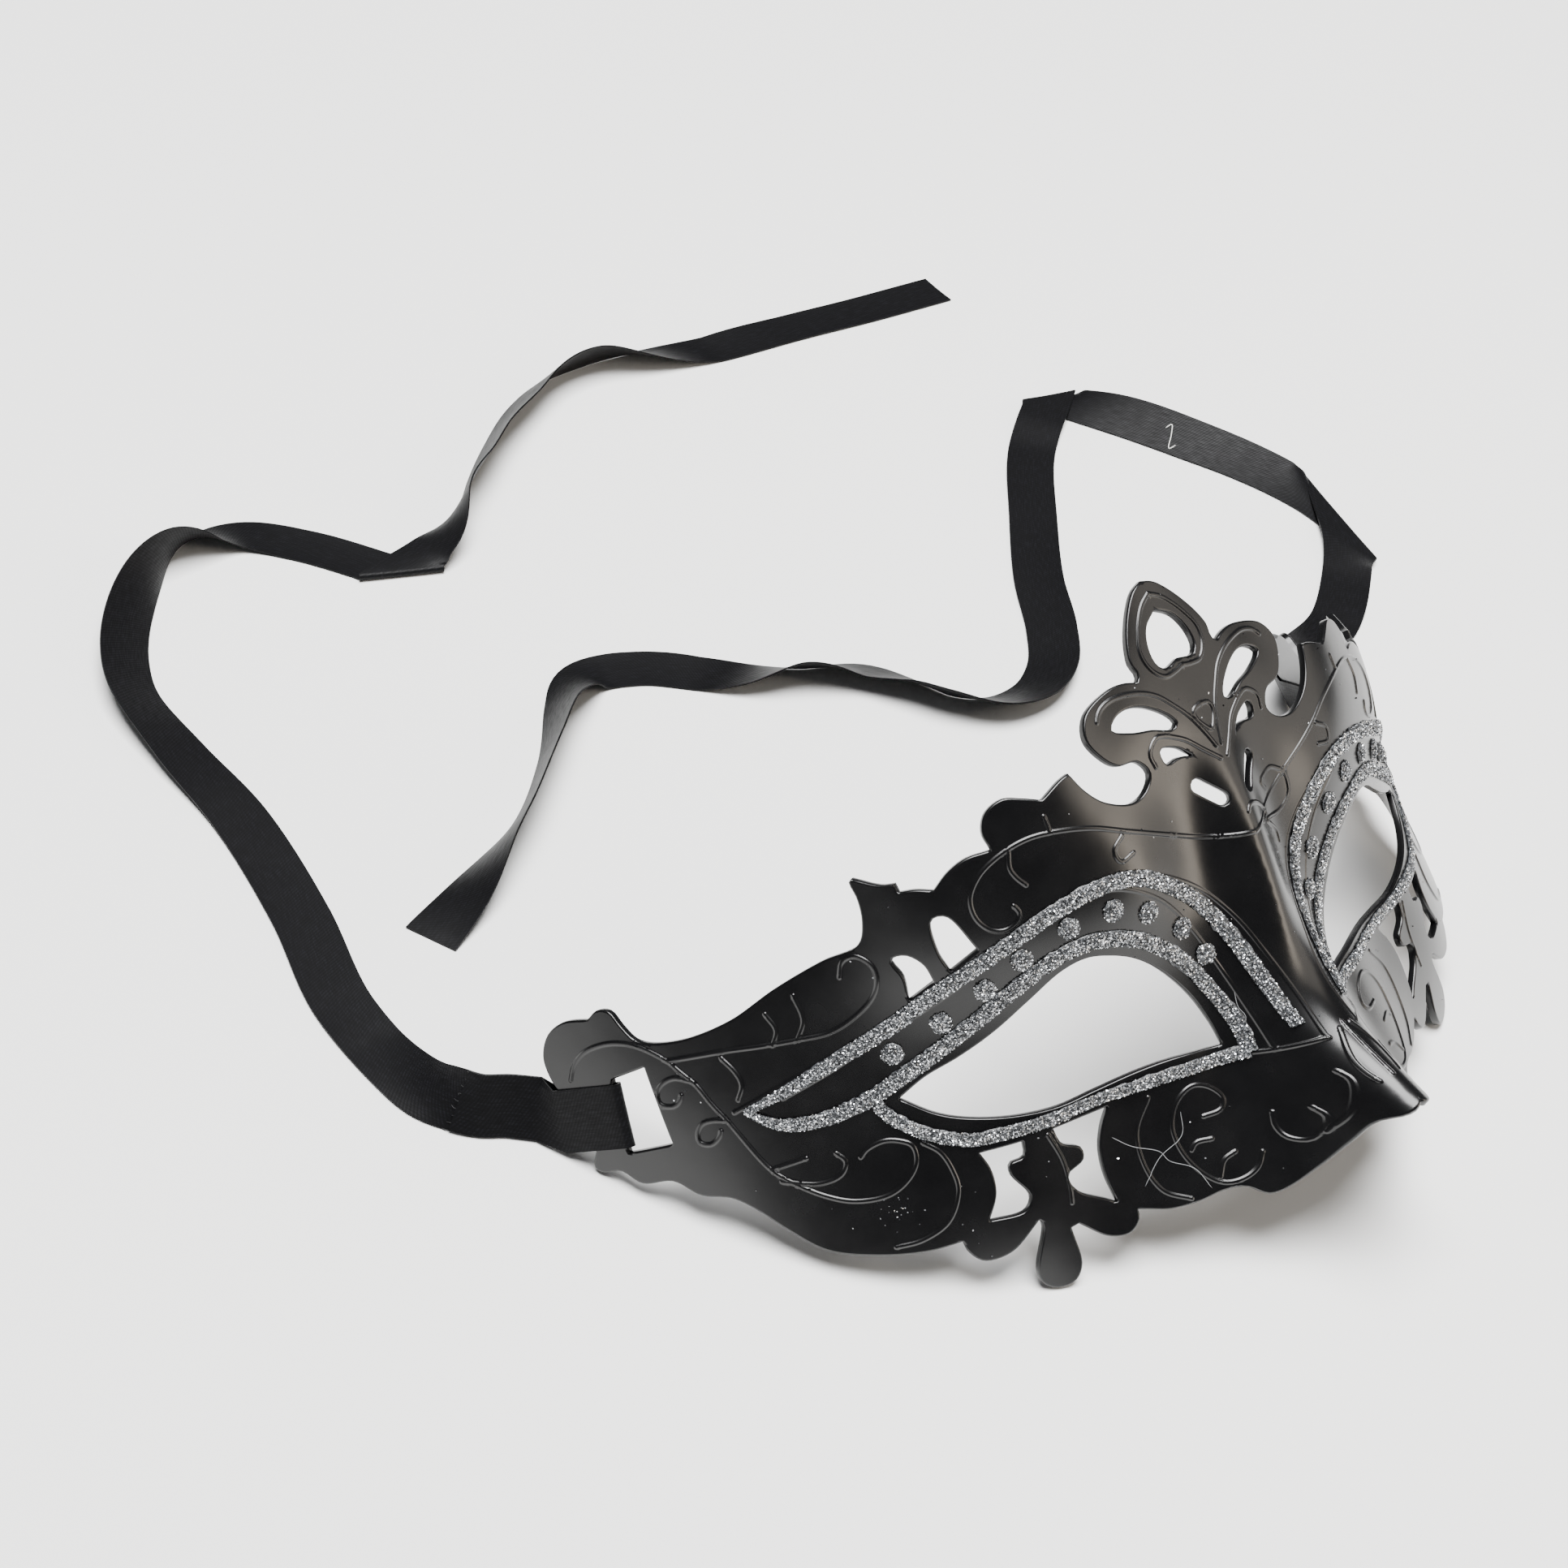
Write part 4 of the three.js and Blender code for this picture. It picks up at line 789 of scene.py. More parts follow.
MIDDLE_LINES = [[[0, -1.1], [0, -1.39]]]
CURLS = [
    [[0.01, 0.04], [0.07, 0.06], [0.19, 0.05], [0.35, 0.01], [0.4, -0.04], [0.24, -0.05]],
    [[0.56, 0.05], [0.5, 0.09], [0.61, 0.11], [0.72, 0.12], [0.83, 0.1], [0.92, 0.07], [0.94, 0.02],
     [0.92, -0.02], [0.82, -0.06], [0.68, -0.08], [0.41, -0.07]],
    [[0.39, -0.08], [0.55, -0.16], [0.55, -0.22]],
]
LINE_STEP = 0.6
LINE_WIDTH = 0.9
LINE_CREST = 0.2
LINE_HEIGHT = 0.2
FINE_SHARE = 0.6


def line_points(rows):
    points = flat(rows)
    return evenly(catmull_rom(points) if len(points) > 2 else points, LINE_STEP)


raised = []
for rows in LINES:
    raised += [(line_points(rows), 1.0), (mirror(line_points(rows)), 1.0)]
for rows in FINE_LINES:
    raised += [(line_points(rows), FINE_SHARE), (mirror(line_points(rows)), FINE_SHARE)]
for rows in MIDDLE_LINES + CURLS:
    raised.append((line_points(rows), 1.0))
for rows in MIDDLE_RINGS:
    ring_half = line_points(rows)
    raised.append((np.vstack([ring_half, mirror(ring_half)[::-1][1:]]), 1.0))
half_lines = [line_points(rows) for rows in LINES + FINE_LINES + MIDDLE_LINES + CURLS + MIDDLE_RINGS]
print("raised lines", len(raised), "with", round(sum(lengths_along(p)[-1] for p, _ in raised)), "mm in all")

# %% [markdown]
# ## A mesh that knows its relief
# The raised lines could be a bump in the material, but their highlights are what shows that the mask is
# moulded, so they are real shape. A regular grid fine enough for them would be huge. Instead the flat
# pattern is triangulated from chosen points: rows beside each edge and each line, and a loose net
# between them. Each point then gets a height from its distance to the nearest line and edge.

# %% Distances and heights
EDGE_ROUND = 0.35


def segments_of(lines):
    """Start points, end points and heights of all segments of (points, height) lines."""
    starts = np.vstack([points[:-1] for points, _ in lines])
    ends = np.vstack([points[1:] for points, _ in lines])
    heights = np.concatenate([np.full(len(points) - 1, height) for points, height in lines])
    return starts, ends, heights


def nearest(points, starts, ends, reach=3.0, chunk=400):
    """Distance from each point to the nearest segment and its index, up to a reach."""
    distance = np.full(len(points), reach)
    index = np.zeros(len(points), int)
    low = np.minimum(starts[:, 0], ends[:, 0])
    high = np.maximum(starts[:, 0], ends[:, 0])
    order = np.argsort(points[:, 0])
    for i in range(0, len(points), chunk):
        pick = order[i:i + chunk]
        group = points[pick]
        near = np.nonzero((high > group[0, 0] - reach) & (low < group[-1, 0] + reach))[0]
        if len(near) == 0:
            continue
        a, way = starts[near], ends[near] - starts[near]
        gap = group[:, None] - a[None]
        share = np.clip((gap * way).sum(2) / np.maximum((way ** 2).sum(1), 1e-12), 0, 1)
        d = np.linalg.norm(gap - share[:, :, None] * way, axis=2)
        best = d.argmin(axis=1)
        value = d[np.arange(len(pick)), best]
        closer = value < reach
        distance[pick[closer]] = value[closer]
        index[pick[closer]] = near[best[closer]]
    return distance, index


line_starts, line_ends, line_shares = segments_of(raised)
closed_edges = [np.vstack([edge, edge[:1]]) for edge in hole_edges]
half_edges = [outer, tear] + closed_edges
edge_starts, edge_ends, _ = segments_of([(edge, 1.0) for edge in half_edges])


def relief(points):
    """Height of the moulding over its smooth face, at points of the pattern."""
    d_line, which = nearest(points, line_starts, line_ends)
    ridge = LINE_HEIGHT * line_shares[which] * smoothstep(-d_line, -LINE_WIDTH / 2, -LINE_CREST / 2)
    d_edge, _ = nearest(to_right(points), edge_starts, edge_ends)
    over = np.clip(EDGE_ROUND - d_edge, 0, EDGE_ROUND)
    return ridge + np.sqrt(EDGE_ROUND ** 2 - over ** 2) - EDGE_ROUND


# %% [markdown]
# Only half of the pattern is triangulated. Mirrored and joined along the middle line it gives the whole
# front, and a coarser net with the same edges gives the smooth back. A wall joins the two.

# %% Triangles of the flat pattern
EDGE_ROWS = [0.07, 0.15, 0.25, 0.36, 0.6]
LINE_ROWS = [0, 0.1, 0.21, 0.33, 0.45, 0.6]
END_SPOKES = 12
FRONT_NET = 1.5
BACK_NET = 3.0
LEAST_GAP = 0.05


def rows_beside(points, offsets):
    """Points beside a line, at the offsets to both sides."""
    way = unit(np.gradient(points, axis=0))
    side = np.column_stack([-way[:, 1], way[:, 0]])
    return np.vstack([points + side * offset for offset in offsets])


def inside(points, loops):
    """Whether each point lies in the pattern, by counting the edges to its right."""
    count = np.zeros(len(points), int)
    for loop in loops:
        for a, b in zip(loop, np.roll(loop, -1, axis=0)):
            crosses = (a[1] > points[:, 1]) != (b[1] > points[:, 1])
            if not crosses.any():
                continue
            x = a[0] + (points[:, 1] - a[1]) / (b[1] - a[1]) * (b[0] - a[0])
            count += crosses & (points[:, 0] < x)
    return count % 2 == 1


middle_low = evenly(np.array([outer[-1], tear[-1]]), EDGE_FINE)[1:-1]
middle_high = evenly(np.array([tear[0], outer[0]]), EDGE_FINE)[1:-1]
half_loop = np.vstack([outer, middle_low, tear[::-1], middle_high])
loops = [half_loop] + hole_edges


def net(step):
    """Rows of staggered points over the right half."""
    ys = np.arange(UP_STOPS[0], UP_STOPS[-1], step * math.sqrt(3) / 2)
    rows = []
    for i, y in enumerate(ys):
        xs = np.arange(step / 2 * (1 + i % 2), ACROSS_STOPS[-1], step)
        rows.append(np.column_stack([xs, np.full_like(xs, y)]))
    return np.vstack(rows)


def triangulate(extra):
    """Triangles of the right half: the points of its loops come first, then the extra ones."""
    extra = extra[extra[:, 0] > LEAST_GAP]
    extra = extra[inside(extra, loops)]
    every_edge = [np.vstack([loop, loop[:1]]) for loop in loops]
    starts, ends, _ = segments_of([(edge, 1.0) for edge in every_edge])
    extra = extra[nearest(extra, starts, ends)[0] > LEAST_GAP * 0.9]
    _, first = np.unique(np.round(extra / LEAST_GAP), axis=0, return_index=True)
    extra = extra[np.sort(first)]
    points = np.vstack(loops + [extra])
    edges = []
    start = 0
    for loop in loops:
        ring = list(range(start, start + len(loop)))
        edges += list(zip(ring, ring[1:] + ring[:1]))
        start += len(loop)
    found = delaunay_2d_cdt([Vector(p) for p in points.tolist()], edges, [], 0, 1e-6)
    spots = np.array([tuple(v) for v in found[0]])
    same = np.array([ids[0] if ids else -1 for ids in found[3]])
    faces = np.array([face for face in found[2] if len(face) == 3])
    faces = faces[inside(spots[faces].mean(axis=1), loops)]
    a, b, c = spots[faces[:, 0]], spots[faces[:, 1]], spots[faces[:, 2]]
    area = (b[:, 0] - a[:, 0]) * (c[:, 1] - a[:, 1]) - (b[:, 1] - a[:, 1]) * (c[:, 0] - a[:, 0])
    faces = faces[np.abs(area) > 1e-9]
    area = area[np.abs(area) > 1e-9]
    faces[area < 0] = faces[area < 0][:, ::-1]
    if (same < 0).any() or len(same) != len(points):
        print("the triangulation added", int((same < 0).sum()), "points, joined", len(points) - len(same))
    return points, same[faces]


def rows_round(point, radii):
    """Points on rings round the end of a line."""
    turns = 2 * np.pi * np.arange(END_SPOKES) / END_SPOKES
    return np.vstack([point + r * np.column_stack([np.cos(turns), np.sin(turns)]) for r in radii])


front_extra = np.vstack(
    [rows_beside(edge, [s * d for d in EDGE_ROWS for s in (-1, 1)]) for edge in half_edges]
    + [rows_beside(points, [s * d for d in LINE_ROWS for s in (-1, 1)]) for points in half_lines]
    + [rows_round(end, LINE_ROWS[1:]) for points in half_lines for end in points[[0, -1]]])
open_net = net(FRONT_NET)
far_off = nearest(open_net, edge_starts, edge_ends)[0] > EDGE_ROWS[-1] + FRONT_NET / 3
line_gap = np.minimum(nearest(open_net, line_starts, line_ends)[0],
                      nearest(mirror(open_net), line_starts, line_ends)[0])
open_net = open_net[far_off & (line_gap > LINE_ROWS[-1] + FRONT_NET / 3)]
front_points, front_faces = triangulate(np.vstack([front_extra, open_net]))
back_points, back_faces = triangulate(net(BACK_NET))
print("front of the right half:", len(front_points), "points", len(front_faces), "triangles")
print("back of the right half:", len(back_points), "points", len(back_faces), "triangles")

# %% [markdown]
# ## Moulded plastic: the material
# The shell is injection-moulded polystyrene or ABS with carbon black, taken from a polished mould. That
# gives a deep black with clear but slightly soft reflections, and faint waviness from shrinkage. The
# light does the rest: the crown mirrors a bright softbox while the brow stays black.

# %% Plastic material


def moulded_plastic():
    material, tree, shader = new_material("injection-moulded ABS, gloss black")
    place = add_node(tree, "ShaderNodeTexCoord")
    wear = add_node(tree, "ShaderNodeTexNoise", inputs={
        "Vector": place.outputs["Object"], "Scale": 1 / (9 * MM), "Detail": 5.0, "Roughness": 0.6})
    tone = colour_ramp(tree, wear.outputs["Fac"], [(0.3, "#040405"), (0.75, "#080809")])
    tree.links.new(tone, shader.inputs["Base Color"])
    gloss = add_node(tree, "ShaderNodeMapRange", inputs={
        "Value": wear.outputs["Fac"], "From Min": 0.3, "From Max": 0.75, "To Min": 0.23, "To Max": 0.29})
    tree.links.new(gloss.outputs["Result"], shader.inputs["Roughness"])
    shrink = add_node(tree, "ShaderNodeTexNoise", inputs={
        "Vector": place.outputs["Object"], "Scale": 1 / (6 * MM), "Detail": 1.0})
    bump = add_node(tree, "ShaderNodeBump", inputs={
        "Height": shrink.outputs["Fac"], "Strength": 0.25, "Distance": 0.12 * MM})
    tree.links.new(bump.outputs["Normal"], shader.inputs["Normal"])
    shader.inputs["IOR"].default_value = 1.5
    return material


plastic = moulded_plastic()

# %% The shell


def whole(points, faces):
    """Mirrors the right half and joins the two along the middle line."""
    on_middle = np.abs(points[:, 0]) < 1e-6
    twin = np.cumsum(~on_middle) - 1 + len(points)
    twin[on_middle] = np.nonzero(on_middle)[0]
    every = np.vstack([points, mirror(points[~on_middle])])
    return every, np.vstack([faces, twin[faces][:, ::-1]]), twin


NUDGE = 0.02
SHELL_CREASE = math.radians(42)


def set_front_normals(mesh, points, face_count):
    """Gives the front the normals of its exact surface, so that wide triangles beside a line stay flat."""
    steps = np.array([[NUDGE, 0], [0, NUDGE]])
    east, north = (wrap(*(points + s).T, relief(points + s)) - wrap(*(points - s).T, relief(points - s))
                   for s in steps)
    exact = unit(np.cross(east, north))
    d_edge, _ = nearest(to_right(points), edge_starts, edge_ends)
    exact[d_edge < EDGE_ROUND] = 0
    corners = np.zeros(len(mesh.loops), int)
    mesh.loops.foreach_get("vertex_index", corners)
    normals = np.zeros((len(corners), 3))
    normals[:3 * face_count] = exact[corners[:3 * face_count]]
    mesh.normals_split_custom_set(normals.tolist())


# The points of the loops come first on the front and on the back, so the two rims match by number.
front_flat, front_all, front_twin = whole(front_points, front_faces)
back_flat, back_all, back_twin = whole(back_points, back_faces)
front = wrap(*front_flat.T, relief(front_flat))
back = wrap(*back_flat.T, -WALL)
directed = {(a, b) for face in front_all.tolist() for a, b in zip(face, face[1:] + face[:1])}
rim = [(a, b) for a, b in directed if (b, a) not in directed]
loop_count = sum(len(loop) for loop in loops)
to_back = {i: i for i in range(loop_count)}
to_back.update({int(front_twin[i]): int(back_twin[i]) for i in range(loop_count)})
base = len(front)
walls = [(b, a, base + to_back[a], base + to_back[b]) for a, b in sorted(rim)]
shell_faces = front_all.tolist() + (back_all[:, ::-1] + base).tolist() + walls
shell = make_piece("moulded_shell", np.vstack([front, back]), shell_faces, [plastic], "black_plastic")
shell.data.set_sharp_from_angle(angle=SHELL_CREASE)
set_front_normals(shell.data, front_flat, len(front_all))
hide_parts("mask_shell")
print("shell:", len(shell_faces), "faces,", len(rim), "edge pieces")

# %% [markdown]
# ## Glitter
# Silver glitter glue is squeezed on by hand: a raised bead of clear glue full of small hexagons punched
# from aluminium-coated film. A noise texture would look like sand. Real flakes, each at its own tilt,
# flash or go dark one by one as they do in the photograph. Each band is a bed of glue with the flakes
# laid over it. They are 0.16 to 0.32 mm wide, about as coarse as the real ones.

# %% Glitter materials


def glue_material():
    material, tree, shader = new_material("dried glitter glue, grey")
    place = add_node(tree, "ShaderNodeTexCoord")
    grain = add_node(tree, "ShaderNodeTexNoise", inputs={
        "Vector": place.outputs["Object"], "Scale": 1 / (0.5 * MM), "Detail": 2.0})
    tone = colour_ramp(tree, grain.outputs["Fac"], [(0.35, "#17181a"), (0.6, "#45474a"), (0.8, "#8d8f92")])
    tree.links.new(tone, shader.inputs["Base Color"])
    bump = add_node(tree, "ShaderNodeBump", inputs={
        "Height": grain.outputs["Fac"], "Strength": 0.6, "Distance": 0.2 * MM})
    tree.links.new(bump.outputs["Normal"], shader.inputs["Normal"])
    shader.inputs["Roughness"].default_value = 0.35
    shader.inputs["IOR"].default_value = 1.47
    return material


def flake_material():
    material, tree, shader = new_material("aluminium-coated film, silver")
    flake = add_node(tree, "ShaderNodeNewGeometry")
    tone = colour_ramp(tree, flake.outputs["Random Per Island"], [
        (0.0, "#55575a"), (0.5, "#a4a6a9"), (1.0, "#f2f4f6")])
    tree.links.new(tone, shader.inputs["Base Color"])
    shader.inputs["Metallic"].default_value = 1.0
    shader.inputs["Roughness"].default_value = 0.28
    return material


glue = glue_material()
film = flake_material()

# %% Glitter tables
BAND_WIDTH = 2.7
GLITTER_SEAT = 0.1
GLUE_THICK = 0.4
FLAKES_PER_MM2 = 34
DOT_FLAKES_PER_MM2 = 28
FLAKE_SIZE = (0.08, 0.16)
FLAKE_TILT = 0.57
FLAKE_REACH = 0.92
FLAKE_LIFT = 0.14
GLITTER_BANDS = {
    "brow": [
        [2.41, -0.57, 0.4], [2.25, -0.485, 0.7], [2.11, -0.4, 0.9], [1.96, -0.31, 1], [1.81, -0.2, 1],
        [1.55, -0.05, 1], [1.42, 0.013, 1], [1.29, 0.035, 1], [1.165, 0.01, 1], [1.04, -0.13, 1],
        [0.78, -0.31, 1], [0.545, -0.545, 1], [0.43, -0.806, 0.9], [0.36, -1.04, 0.7],
    ],
    "lid": [
        [2.4, -0.575, 0.4], [2.33, -0.66, 0.8], [2.24, -0.687, 0.9], [2.1, -0.657, 1], [2, -0.597, 1],
        [1.73, -0.41, 1], [1.59, -0.305, 1], [1.455, -0.225, 1], [1.35, -0.21, 1], [1.247, -0.26, 1],
        [1.14, -0.377, 1], [1.042, -0.56, 1], [0.88, -0.806, 1], [0.78, -0.987, 0.9],
        [0.78, -1.12, 0.8],
    ],
    "lower": [
        [2.06, -0.68, 0.8], [2.04, -0.75, 0.8], [1.99, -0.84, 0.8], [1.93, -0.913, 0.8],
        [1.84, -0.985, 0.8], [1.71, -1.02, 0.8], [1.58, -1.045, 0.7], [1.45, -1.05, 0.7],
        [1.31, -1.07, 0.8], [1.17, -1.085, 0.8], [1.03, -1.11, 0.8], [0.78, -1.12, 0.8],
    ],
}
DOTS = [
    [0.89, -0.557], [1.03, -0.37], [1.14, -0.197], [1.254, -0.1], [1.396, -0.096], [1.55, -0.168],
    [1.673, -0.26], [1.82, -0.36], [1.98, -0.45],
]
BED_STEP = 0.8
BED_SHARES = np.array([-1, -0.85, -0.5, 0, 0.5, 0.85, 1])
BAND_RAGGED = 0.09
DOT_DIAMETER = 3.4
DOT_HEIGHT = 0.6
DOT_SIDES = 20
DOT_RINGS = [1.0, 0.85, 0.55, 0.2]
DOT_RAGGED = 0.06
DOT_REACH = 1.04

# %% Beds and flakes


def flakes(middles, normals, first):
    """Hexagons at the given points, each tilted its own way: their points and faces."""
    count = len(middles)
    tilt = unit(normals + chance.normal(0, FLAKE_TILT, (count, 3)))
    side = unit(np.cross(tilt, chance.normal(0, 1, (count, 3))))
    other = np.cross(tilt, side)
    size = chance.uniform(*FLAKE_SIZE, count)[:, None]
    ring = []
    for k in range(6):
        turn = math.pi * k / 3
        ring.append(middles + size * (side * math.cos(turn) + other * math.sin(turn)))
    points = np.array(ring).transpose(1, 0, 2).reshape(-1, 3)
    faces = (first + np.arange(count * 6).reshape(count, 6)).tolist()
    return points, faces


def with_flakes(bed_points, bed_faces, spot, height):
    """A bed of glue with flakes at pattern places over it."""
    height = height + chance.uniform(0, FLAKE_LIFT, len(spot))
    flake_points, flake_faces = flakes(wrap(*spot.T, height), outward(*spot.T), len(bed_points))
    return np.vstack([bed_points, flake_points]), bed_faces, flake_faces


def bed_height(share):
    return GLITTER_SEAT + GLUE_THICK * np.sqrt(np.clip(1 - share ** 2, 0, 1))


def glitter_band(rows, sign):
    """Points and faces of one band: its bed of glue first, then its flakes."""
    line = evenly(catmull_rom(flat(rows) * [sign, 1]), BED_STEP)
    share = np.linspace(0, 1, len(rows))
    widths = np.interp(np.linspace(0, 1, len(line)), share, [row[2] for row in rows])
    way = unit(np.gradient(line, axis=0))
    side = np.column_stack([-way[:, 1], way[:, 0]])
    ragged = [1 + BAND_RAGGED * chance.normal(0, 1, len(line)) for _ in range(2)]
    bed = []
    for s in BED_SHARES:
        reach = FLAKE_REACH * BAND_WIDTH / 2 * widths * s * (ragged[0] if s < 0 else ragged[1])
        spot = line + side * reach[:, None]
        bed.append(wrap(*spot.T, bed_height(s)))
    wide = len(BED_SHARES)
    bed_points = np.array(bed).transpose(1, 0, 2).reshape(-1, 3)
    faces = []
    for i in range(len(line) - 1):
        for j in range(wide - 1):
            a, b = i * wide + j, (i + 1) * wide + j
            faces.append((a, a + 1, b + 1, b) if sign < 0 else (a, b, b + 1, a + 1))
    length = lengths_along(line)[-1]
    count = int(length * BAND_WIDTH * widths.mean() * FLAKES_PER_MM2)
    at = chance.uniform(0, len(line) - 1, count)
    s = chance.uniform(-FLAKE_REACH, FLAKE_REACH, count)
    spot = np.column_stack([np.interp(at, np.arange(len(line)), line[:, k]) for k in range(2)])
    spot_side = np.column_stack([np.interp(at, np.arange(len(line)), side[:, k]) for k in range(2)])
    width = np.interp(at, np.arange(len(line)), widths)
    spot = spot + spot_side * (BAND_WIDTH / 2 * width * s)[:, None]
    return with_flakes(bed_points, faces, spot, bed_height(s))


def glitter_piece(name, parts, node):
    """Joins (points, bed faces, flake faces) parts to one piece with glue and film."""
    points, beds, tops = joined(parts)
    piece = make_piece(name, points, beds + tops, [glue, film], "silver_glitter")
    piece.data.polygons.foreach_set("material_index", [0] * len(beds) + [1] * len(tops))
    piece.data.polygons.foreach_set("use_smooth", [True] * len(beds) + [False] * len(tops))
    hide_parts(node)
    return piece


def glitter_dot(row, sign):
    """One drop of glitter glue: a low dome with flakes."""
    middle = flat([row])[0] * [sign, 1]
    ragged = 1 + DOT_RAGGED * chance.normal(0, 1, DOT_SIDES)
    turns = 2 * np.pi * np.arange(DOT_SIDES) / DOT_SIDES
    radius = DOT_DIAMETER / 2
    bed = []
    for reach in DOT_RINGS:
        x = middle[0] + radius * reach * ragged * np.cos(turns)
        y = middle[1] + radius * reach * ragged * np.sin(turns)
        bed.append(wrap(x, y, GLITTER_SEAT + (DOT_HEIGHT - GLITTER_SEAT) * math.sqrt(1 - reach ** 2)))
    bed_points = np.vstack(bed)
    faces = []
    for i in range(len(DOT_RINGS) - 1):
        near, far = i * DOT_SIDES, (i + 1) * DOT_SIDES
        for j in range(DOT_SIDES):
            k = (j + 1) % DOT_SIDES
            faces.append((near + j, near + k, far + k, far + j))
    faces.append(tuple((len(DOT_RINGS) - 1) * DOT_SIDES + j for j in range(DOT_SIDES)))
    count = int(math.pi * radius ** 2 * DOT_FLAKES_PER_MM2)
    reach = np.sqrt(chance.uniform(0, DOT_REACH, count))
    turn = chance.uniform(0, 2 * np.pi, count)
    spot = middle + radius * reach[:, None] * np.column_stack([np.cos(turn), np.sin(turn)])
    dome = np.sqrt(np.clip(1 - reach ** 2, 0, 1))
    return with_flakes(bed_points, faces, spot, GLITTER_SEAT + (DOT_HEIGHT - GLITTER_SEAT) * dome)


for side, sign in (("left", -1), ("right", 1)):
    bands = [glitter_band(rows, sign) for rows in GLITTER_BANDS.values()]
    piece = glitter_piece(f"glitter_bands_{side}", bands, f"glitter_trim_{side}")
    print(piece.name, "has", sum(len(part[2]) for part in bands), "flakes")
    for i, row in enumerate(DOTS, start=1):
        glitter_piece(f"glitter_drop_{side}_{i}", [glitter_dot(row, sign)], f"glitter_dot_{side}_{i}")

# %% [markdown]
# ## Strays
# Glitter glue is messy. Single flakes stick where they fall, and the nozzle leaves a hair of glue where
# it is pulled away. A white thread lies on the right ribbon, and the left ribbon is frayed where it was
# cut. These small faults are what makes the mask look handled.

# %% Stray flakes, glue hairs and threads
STRAYS = 330
CLUSTER = [-2.08, -1.25]
CLUSTER_SPREAD = 1.6
CLUSTER_FLAKES = 26
STRAY_HEIGHT = 0.08
TUBE_SIDES = 5
HAIR_RADIUS = 0.05
THREAD_RADIUS = 0.11
GLUE_HAIRS = [
    [[-1.43, -1.29], [-1.38, -1.38], [-1.3, -1.47], [-1.285, -1.53], [-1.22, -1.62], [-1.195, -1.75]],
    [[-1.2, -1.3], [-1.22, -1.42], [-1.31, -1.5], [-1.38, -1.62]],
    [[-0.716, -0.8], [-0.73, -0.88], [-0.7, -0.93], [-0.72, -0.97]],
]
WHITE_THREAD = [[-1.6, 0.5], [-0.6, 0.75], [0.3, 0.1], [1.2, -0.35], [2.1, -0.1]]
THREAD_PLACE = [141.3, 119.5]
FRAY_THREADS = 9
FRAY_BEND = 0.25
FRAY_REACH = (0.3, 1.0)
LONG_THREAD = 1.6


def hair_tube(line, radius):
    """A thin tube along a line of points, with tapered ends: its points and faces."""
    way = unit(np.gradient(line, axis=0))
    side = unit(np.cross(way, [0.31, 0.17, 0.93]))
    other = np.cross(way, side)
    turns = 2 * np.pi * np.arange(TUBE_SIDES) / TUBE_SIDES
    steps = np.arange(len(line))
    taper = radius * np.clip(np.minimum(steps, steps[::-1]) / 2 + 0.3, 0, 1)
    rings = [line + taper[:, None] * (side * math.cos(t) + other * math.sin(t)) for t in turns]
    points = np.array(rings).transpose(1, 0, 2).reshape(-1, 3)
    ids = np.arange(len(points)).reshape(-1, TUBE_SIDES)
    beside = np.roll(ids, -1, axis=1)
    faces = np.stack([ids[:-1], beside[:-1], beside[1:], ids[1:]], axis=-1).reshape(-1, 4).tolist()
    return points, faces + [ids[0][::-1].tolist(), ids[-1].tolist()]


def plain_material(name, colour, rough):
    material, _, shader = new_material(name)
    shader.inputs["Base Color"].default_value = linear(colour)
    shader.inputs["Roughness"].default_value = rough
    shader.inputs["IOR"].default_value = 1.5
    return material


def on_ribbon(run, index, along, share):
    """A place on top of a ribbon, along mm past a station and at a share of half its width."""
    middle, half, normal = run
    way = unit(middle[index + 1] - middle[index])
    up_side = normal[index] * np.sign(normal[index][2])
    return middle[index] + way * along + half[index] * share + up_side * (SATIN_THICK / 2 + THREAD_RADIUS)


stray_x = chance.uniform(-ACROSS_STOPS[-1], ACROSS_STOPS[-1], STRAYS)
stray_y = chance.uniform(UP_STOPS[0], UP_STOPS[-1], STRAYS)
strays = np.column_stack([stray_x, stray_y])
heap = flat([CLUSTER])[0] + chance.normal(0, CLUSTER_SPREAD, (CLUSTER_FLAKES, 2))
strays = np.vstack([strays, heap])
strays = strays[inside(to_right(strays), loops)]
stray_places = wrap(*strays.T, relief(strays) + STRAY_HEIGHT)
stray_points, stray_faces = flakes(stray_places, outward(*strays.T), 0)
make_piece("stray_flakes", stray_points, stray_faces, [film], "silver_glitter", smooth=False)

hairs = []
for rows in GLUE_HAIRS:
    line = evenly(catmull_rom(flat(rows)), 0.5)
    hairs.append(hair_tube(wrap(*line.T, relief(line) + HAIR_RADIUS), HAIR_RADIUS))
clear_glue = plain_material("dried clear glue", "#8a8c8e", 0.3)
make_piece("glue_hairs", *joined(hairs), [clear_glue], "silver_glitter")

station = int(np.linalg.norm(right_run[0][:, :2] - THREAD_PLACE, axis=1).argmin())
thread_spots = [on_ribbon(right_run, station, along, share) for along, share in WHITE_THREAD]
thread_line = catmull_rom(thread_spots, fine=6)
white_yarn = plain_material("white polyester thread", "#e6e6e2", 0.6)
make_piece("loose_white_thread", *hair_tube(thread_line, THREAD_RADIUS), [white_yarn], "black_satin")

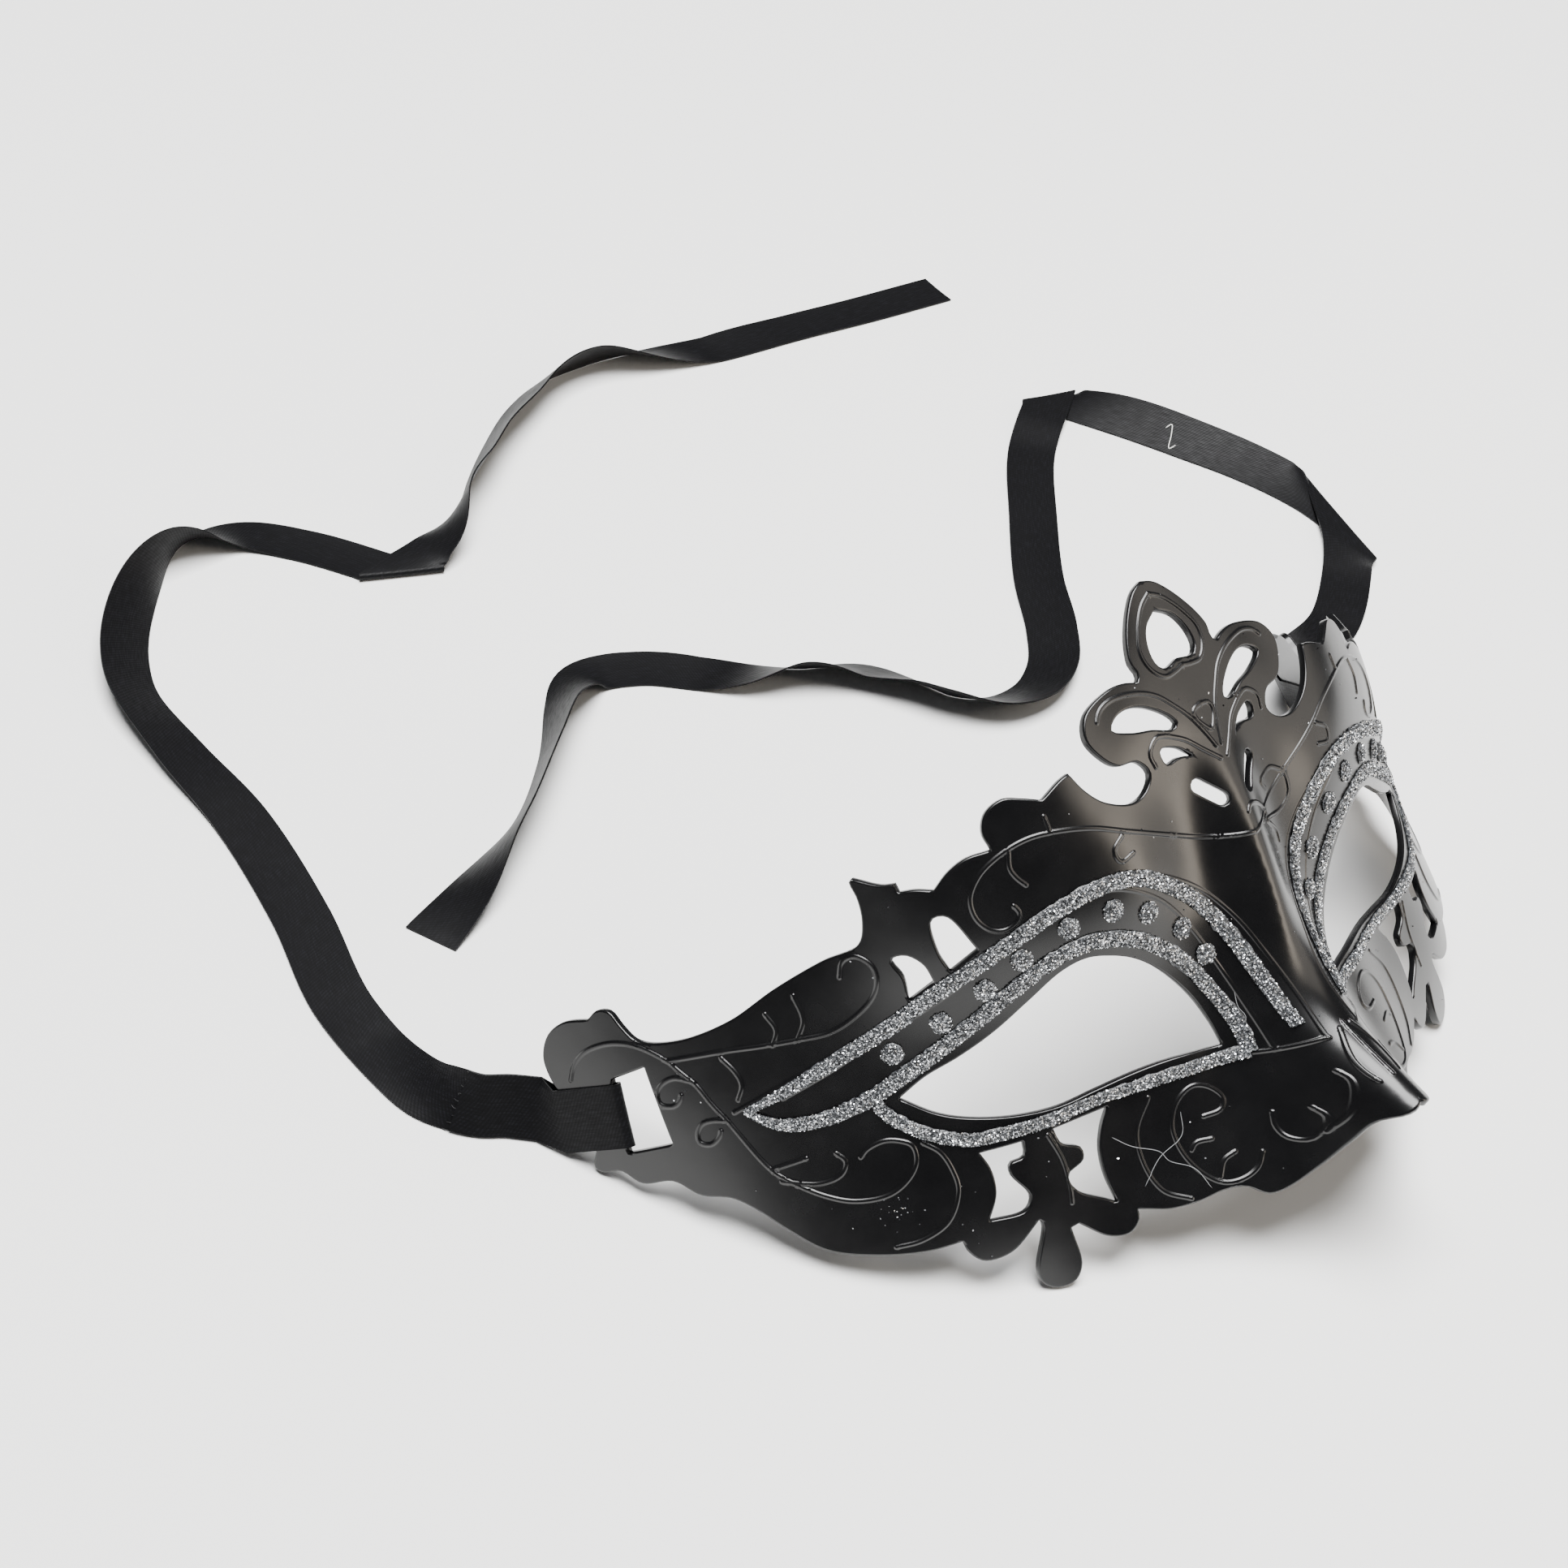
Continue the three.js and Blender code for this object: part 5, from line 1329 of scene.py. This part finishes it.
cut_way = unit(left_run[0][0] - left_run[0][1])
threads = []
for share in np.linspace(-0.97, 0.97, FRAY_THREADS):
    start = left_run[0][0] + left_run[1][0] * share
    bend = chance.normal(0, FRAY_BEND, 3)
    reach = chance.uniform(*FRAY_REACH) + (LONG_THREAD if share < -0.9 else 0)
    line = [start - cut_way * 0.3, start + cut_way * reach / 2, start + (cut_way + bend) * reach]
    threads.append(hair_tube(catmull_rom(line, fine=4), HAIR_RADIUS))
black_yarn = plain_material("black polyester thread", "#101012", 0.5)
make_piece("frayed_threads", *joined(threads), [black_yarn], "black_satin")
print("strays:", len(stray_faces), "flakes,", len(hairs), "hairs of glue,", 1 + len(threads), "threads")

# %% [markdown]
# ## Table and light
# The table is a plain pale sheet. One large soft light stands to the right and in front, with a brighter
# strip beside it, and the crown mirrors both. A third light hangs over the mask and lights the table. The
# world is kept dim, because a black gloss shows whatever surrounds it.

# %% Table
TABLE_SIZE = 6.0


def pale_table():
    material, tree, shader = new_material("matt white laminate")
    shader.inputs["Base Color"].default_value = linear("#f4f4f3")
    shader.inputs["Roughness"].default_value = 0.7
    shader.inputs["Specular IOR Level"].default_value = 0.2
    mesh = bpy.data.meshes.new("table")
    h = TABLE_SIZE / 2
    mesh.from_pydata([(-h, -h, 0), (h, -h, 0), (h, h, 0), (-h, h, 0)], [], [(0, 1, 2, 3)])
    mesh.materials.append(material)
    table = bpy.data.objects.new("table", mesh)
    bpy.context.scene.collection.objects.link(table)


pale_table()

# %% Lights


def soft_light(name, place, target, size, power, colour):
    data = bpy.data.lights.new(name, "AREA")
    data.color = linear(colour)[:3]
    data.shape = "RECTANGLE"
    data.size, data.size_y = size
    data.energy = power
    lamp = bpy.data.objects.new(name, data)
    lamp.location = place
    way = Vector(target) - Vector(place)
    lamp.rotation_mode = "QUATERNION"
    lamp.rotation_quaternion = way.to_track_quat("-Z", "Y")
    bpy.context.scene.collection.objects.link(lamp)


MASK_MIDDLE = (0, 0, 0.04)
soft_light("softbox_overhead", (0, 0.1, 1.8), MASK_MIDDLE, (1.2, 1.2), 118, "#ffffff")
soft_light("softbox_front_right", (0.79, -0.79, 0.5), (0, 0, 0.05), (0.9, 0.98), 5, "#fff6ea")
soft_light("strip_front", (0.6, -1.0, 0.42), (0, 0, 0.05), (0.28, 0.75), 4, "#fff1de")
world = bpy.data.worlds.new("dim studio")
world.use_nodes = True
world.node_tree.nodes["Background"].inputs["Color"].default_value = linear("#e8eaee")
world.node_tree.nodes["Background"].inputs["Strength"].default_value = 0.15
bpy.context.scene.world = world
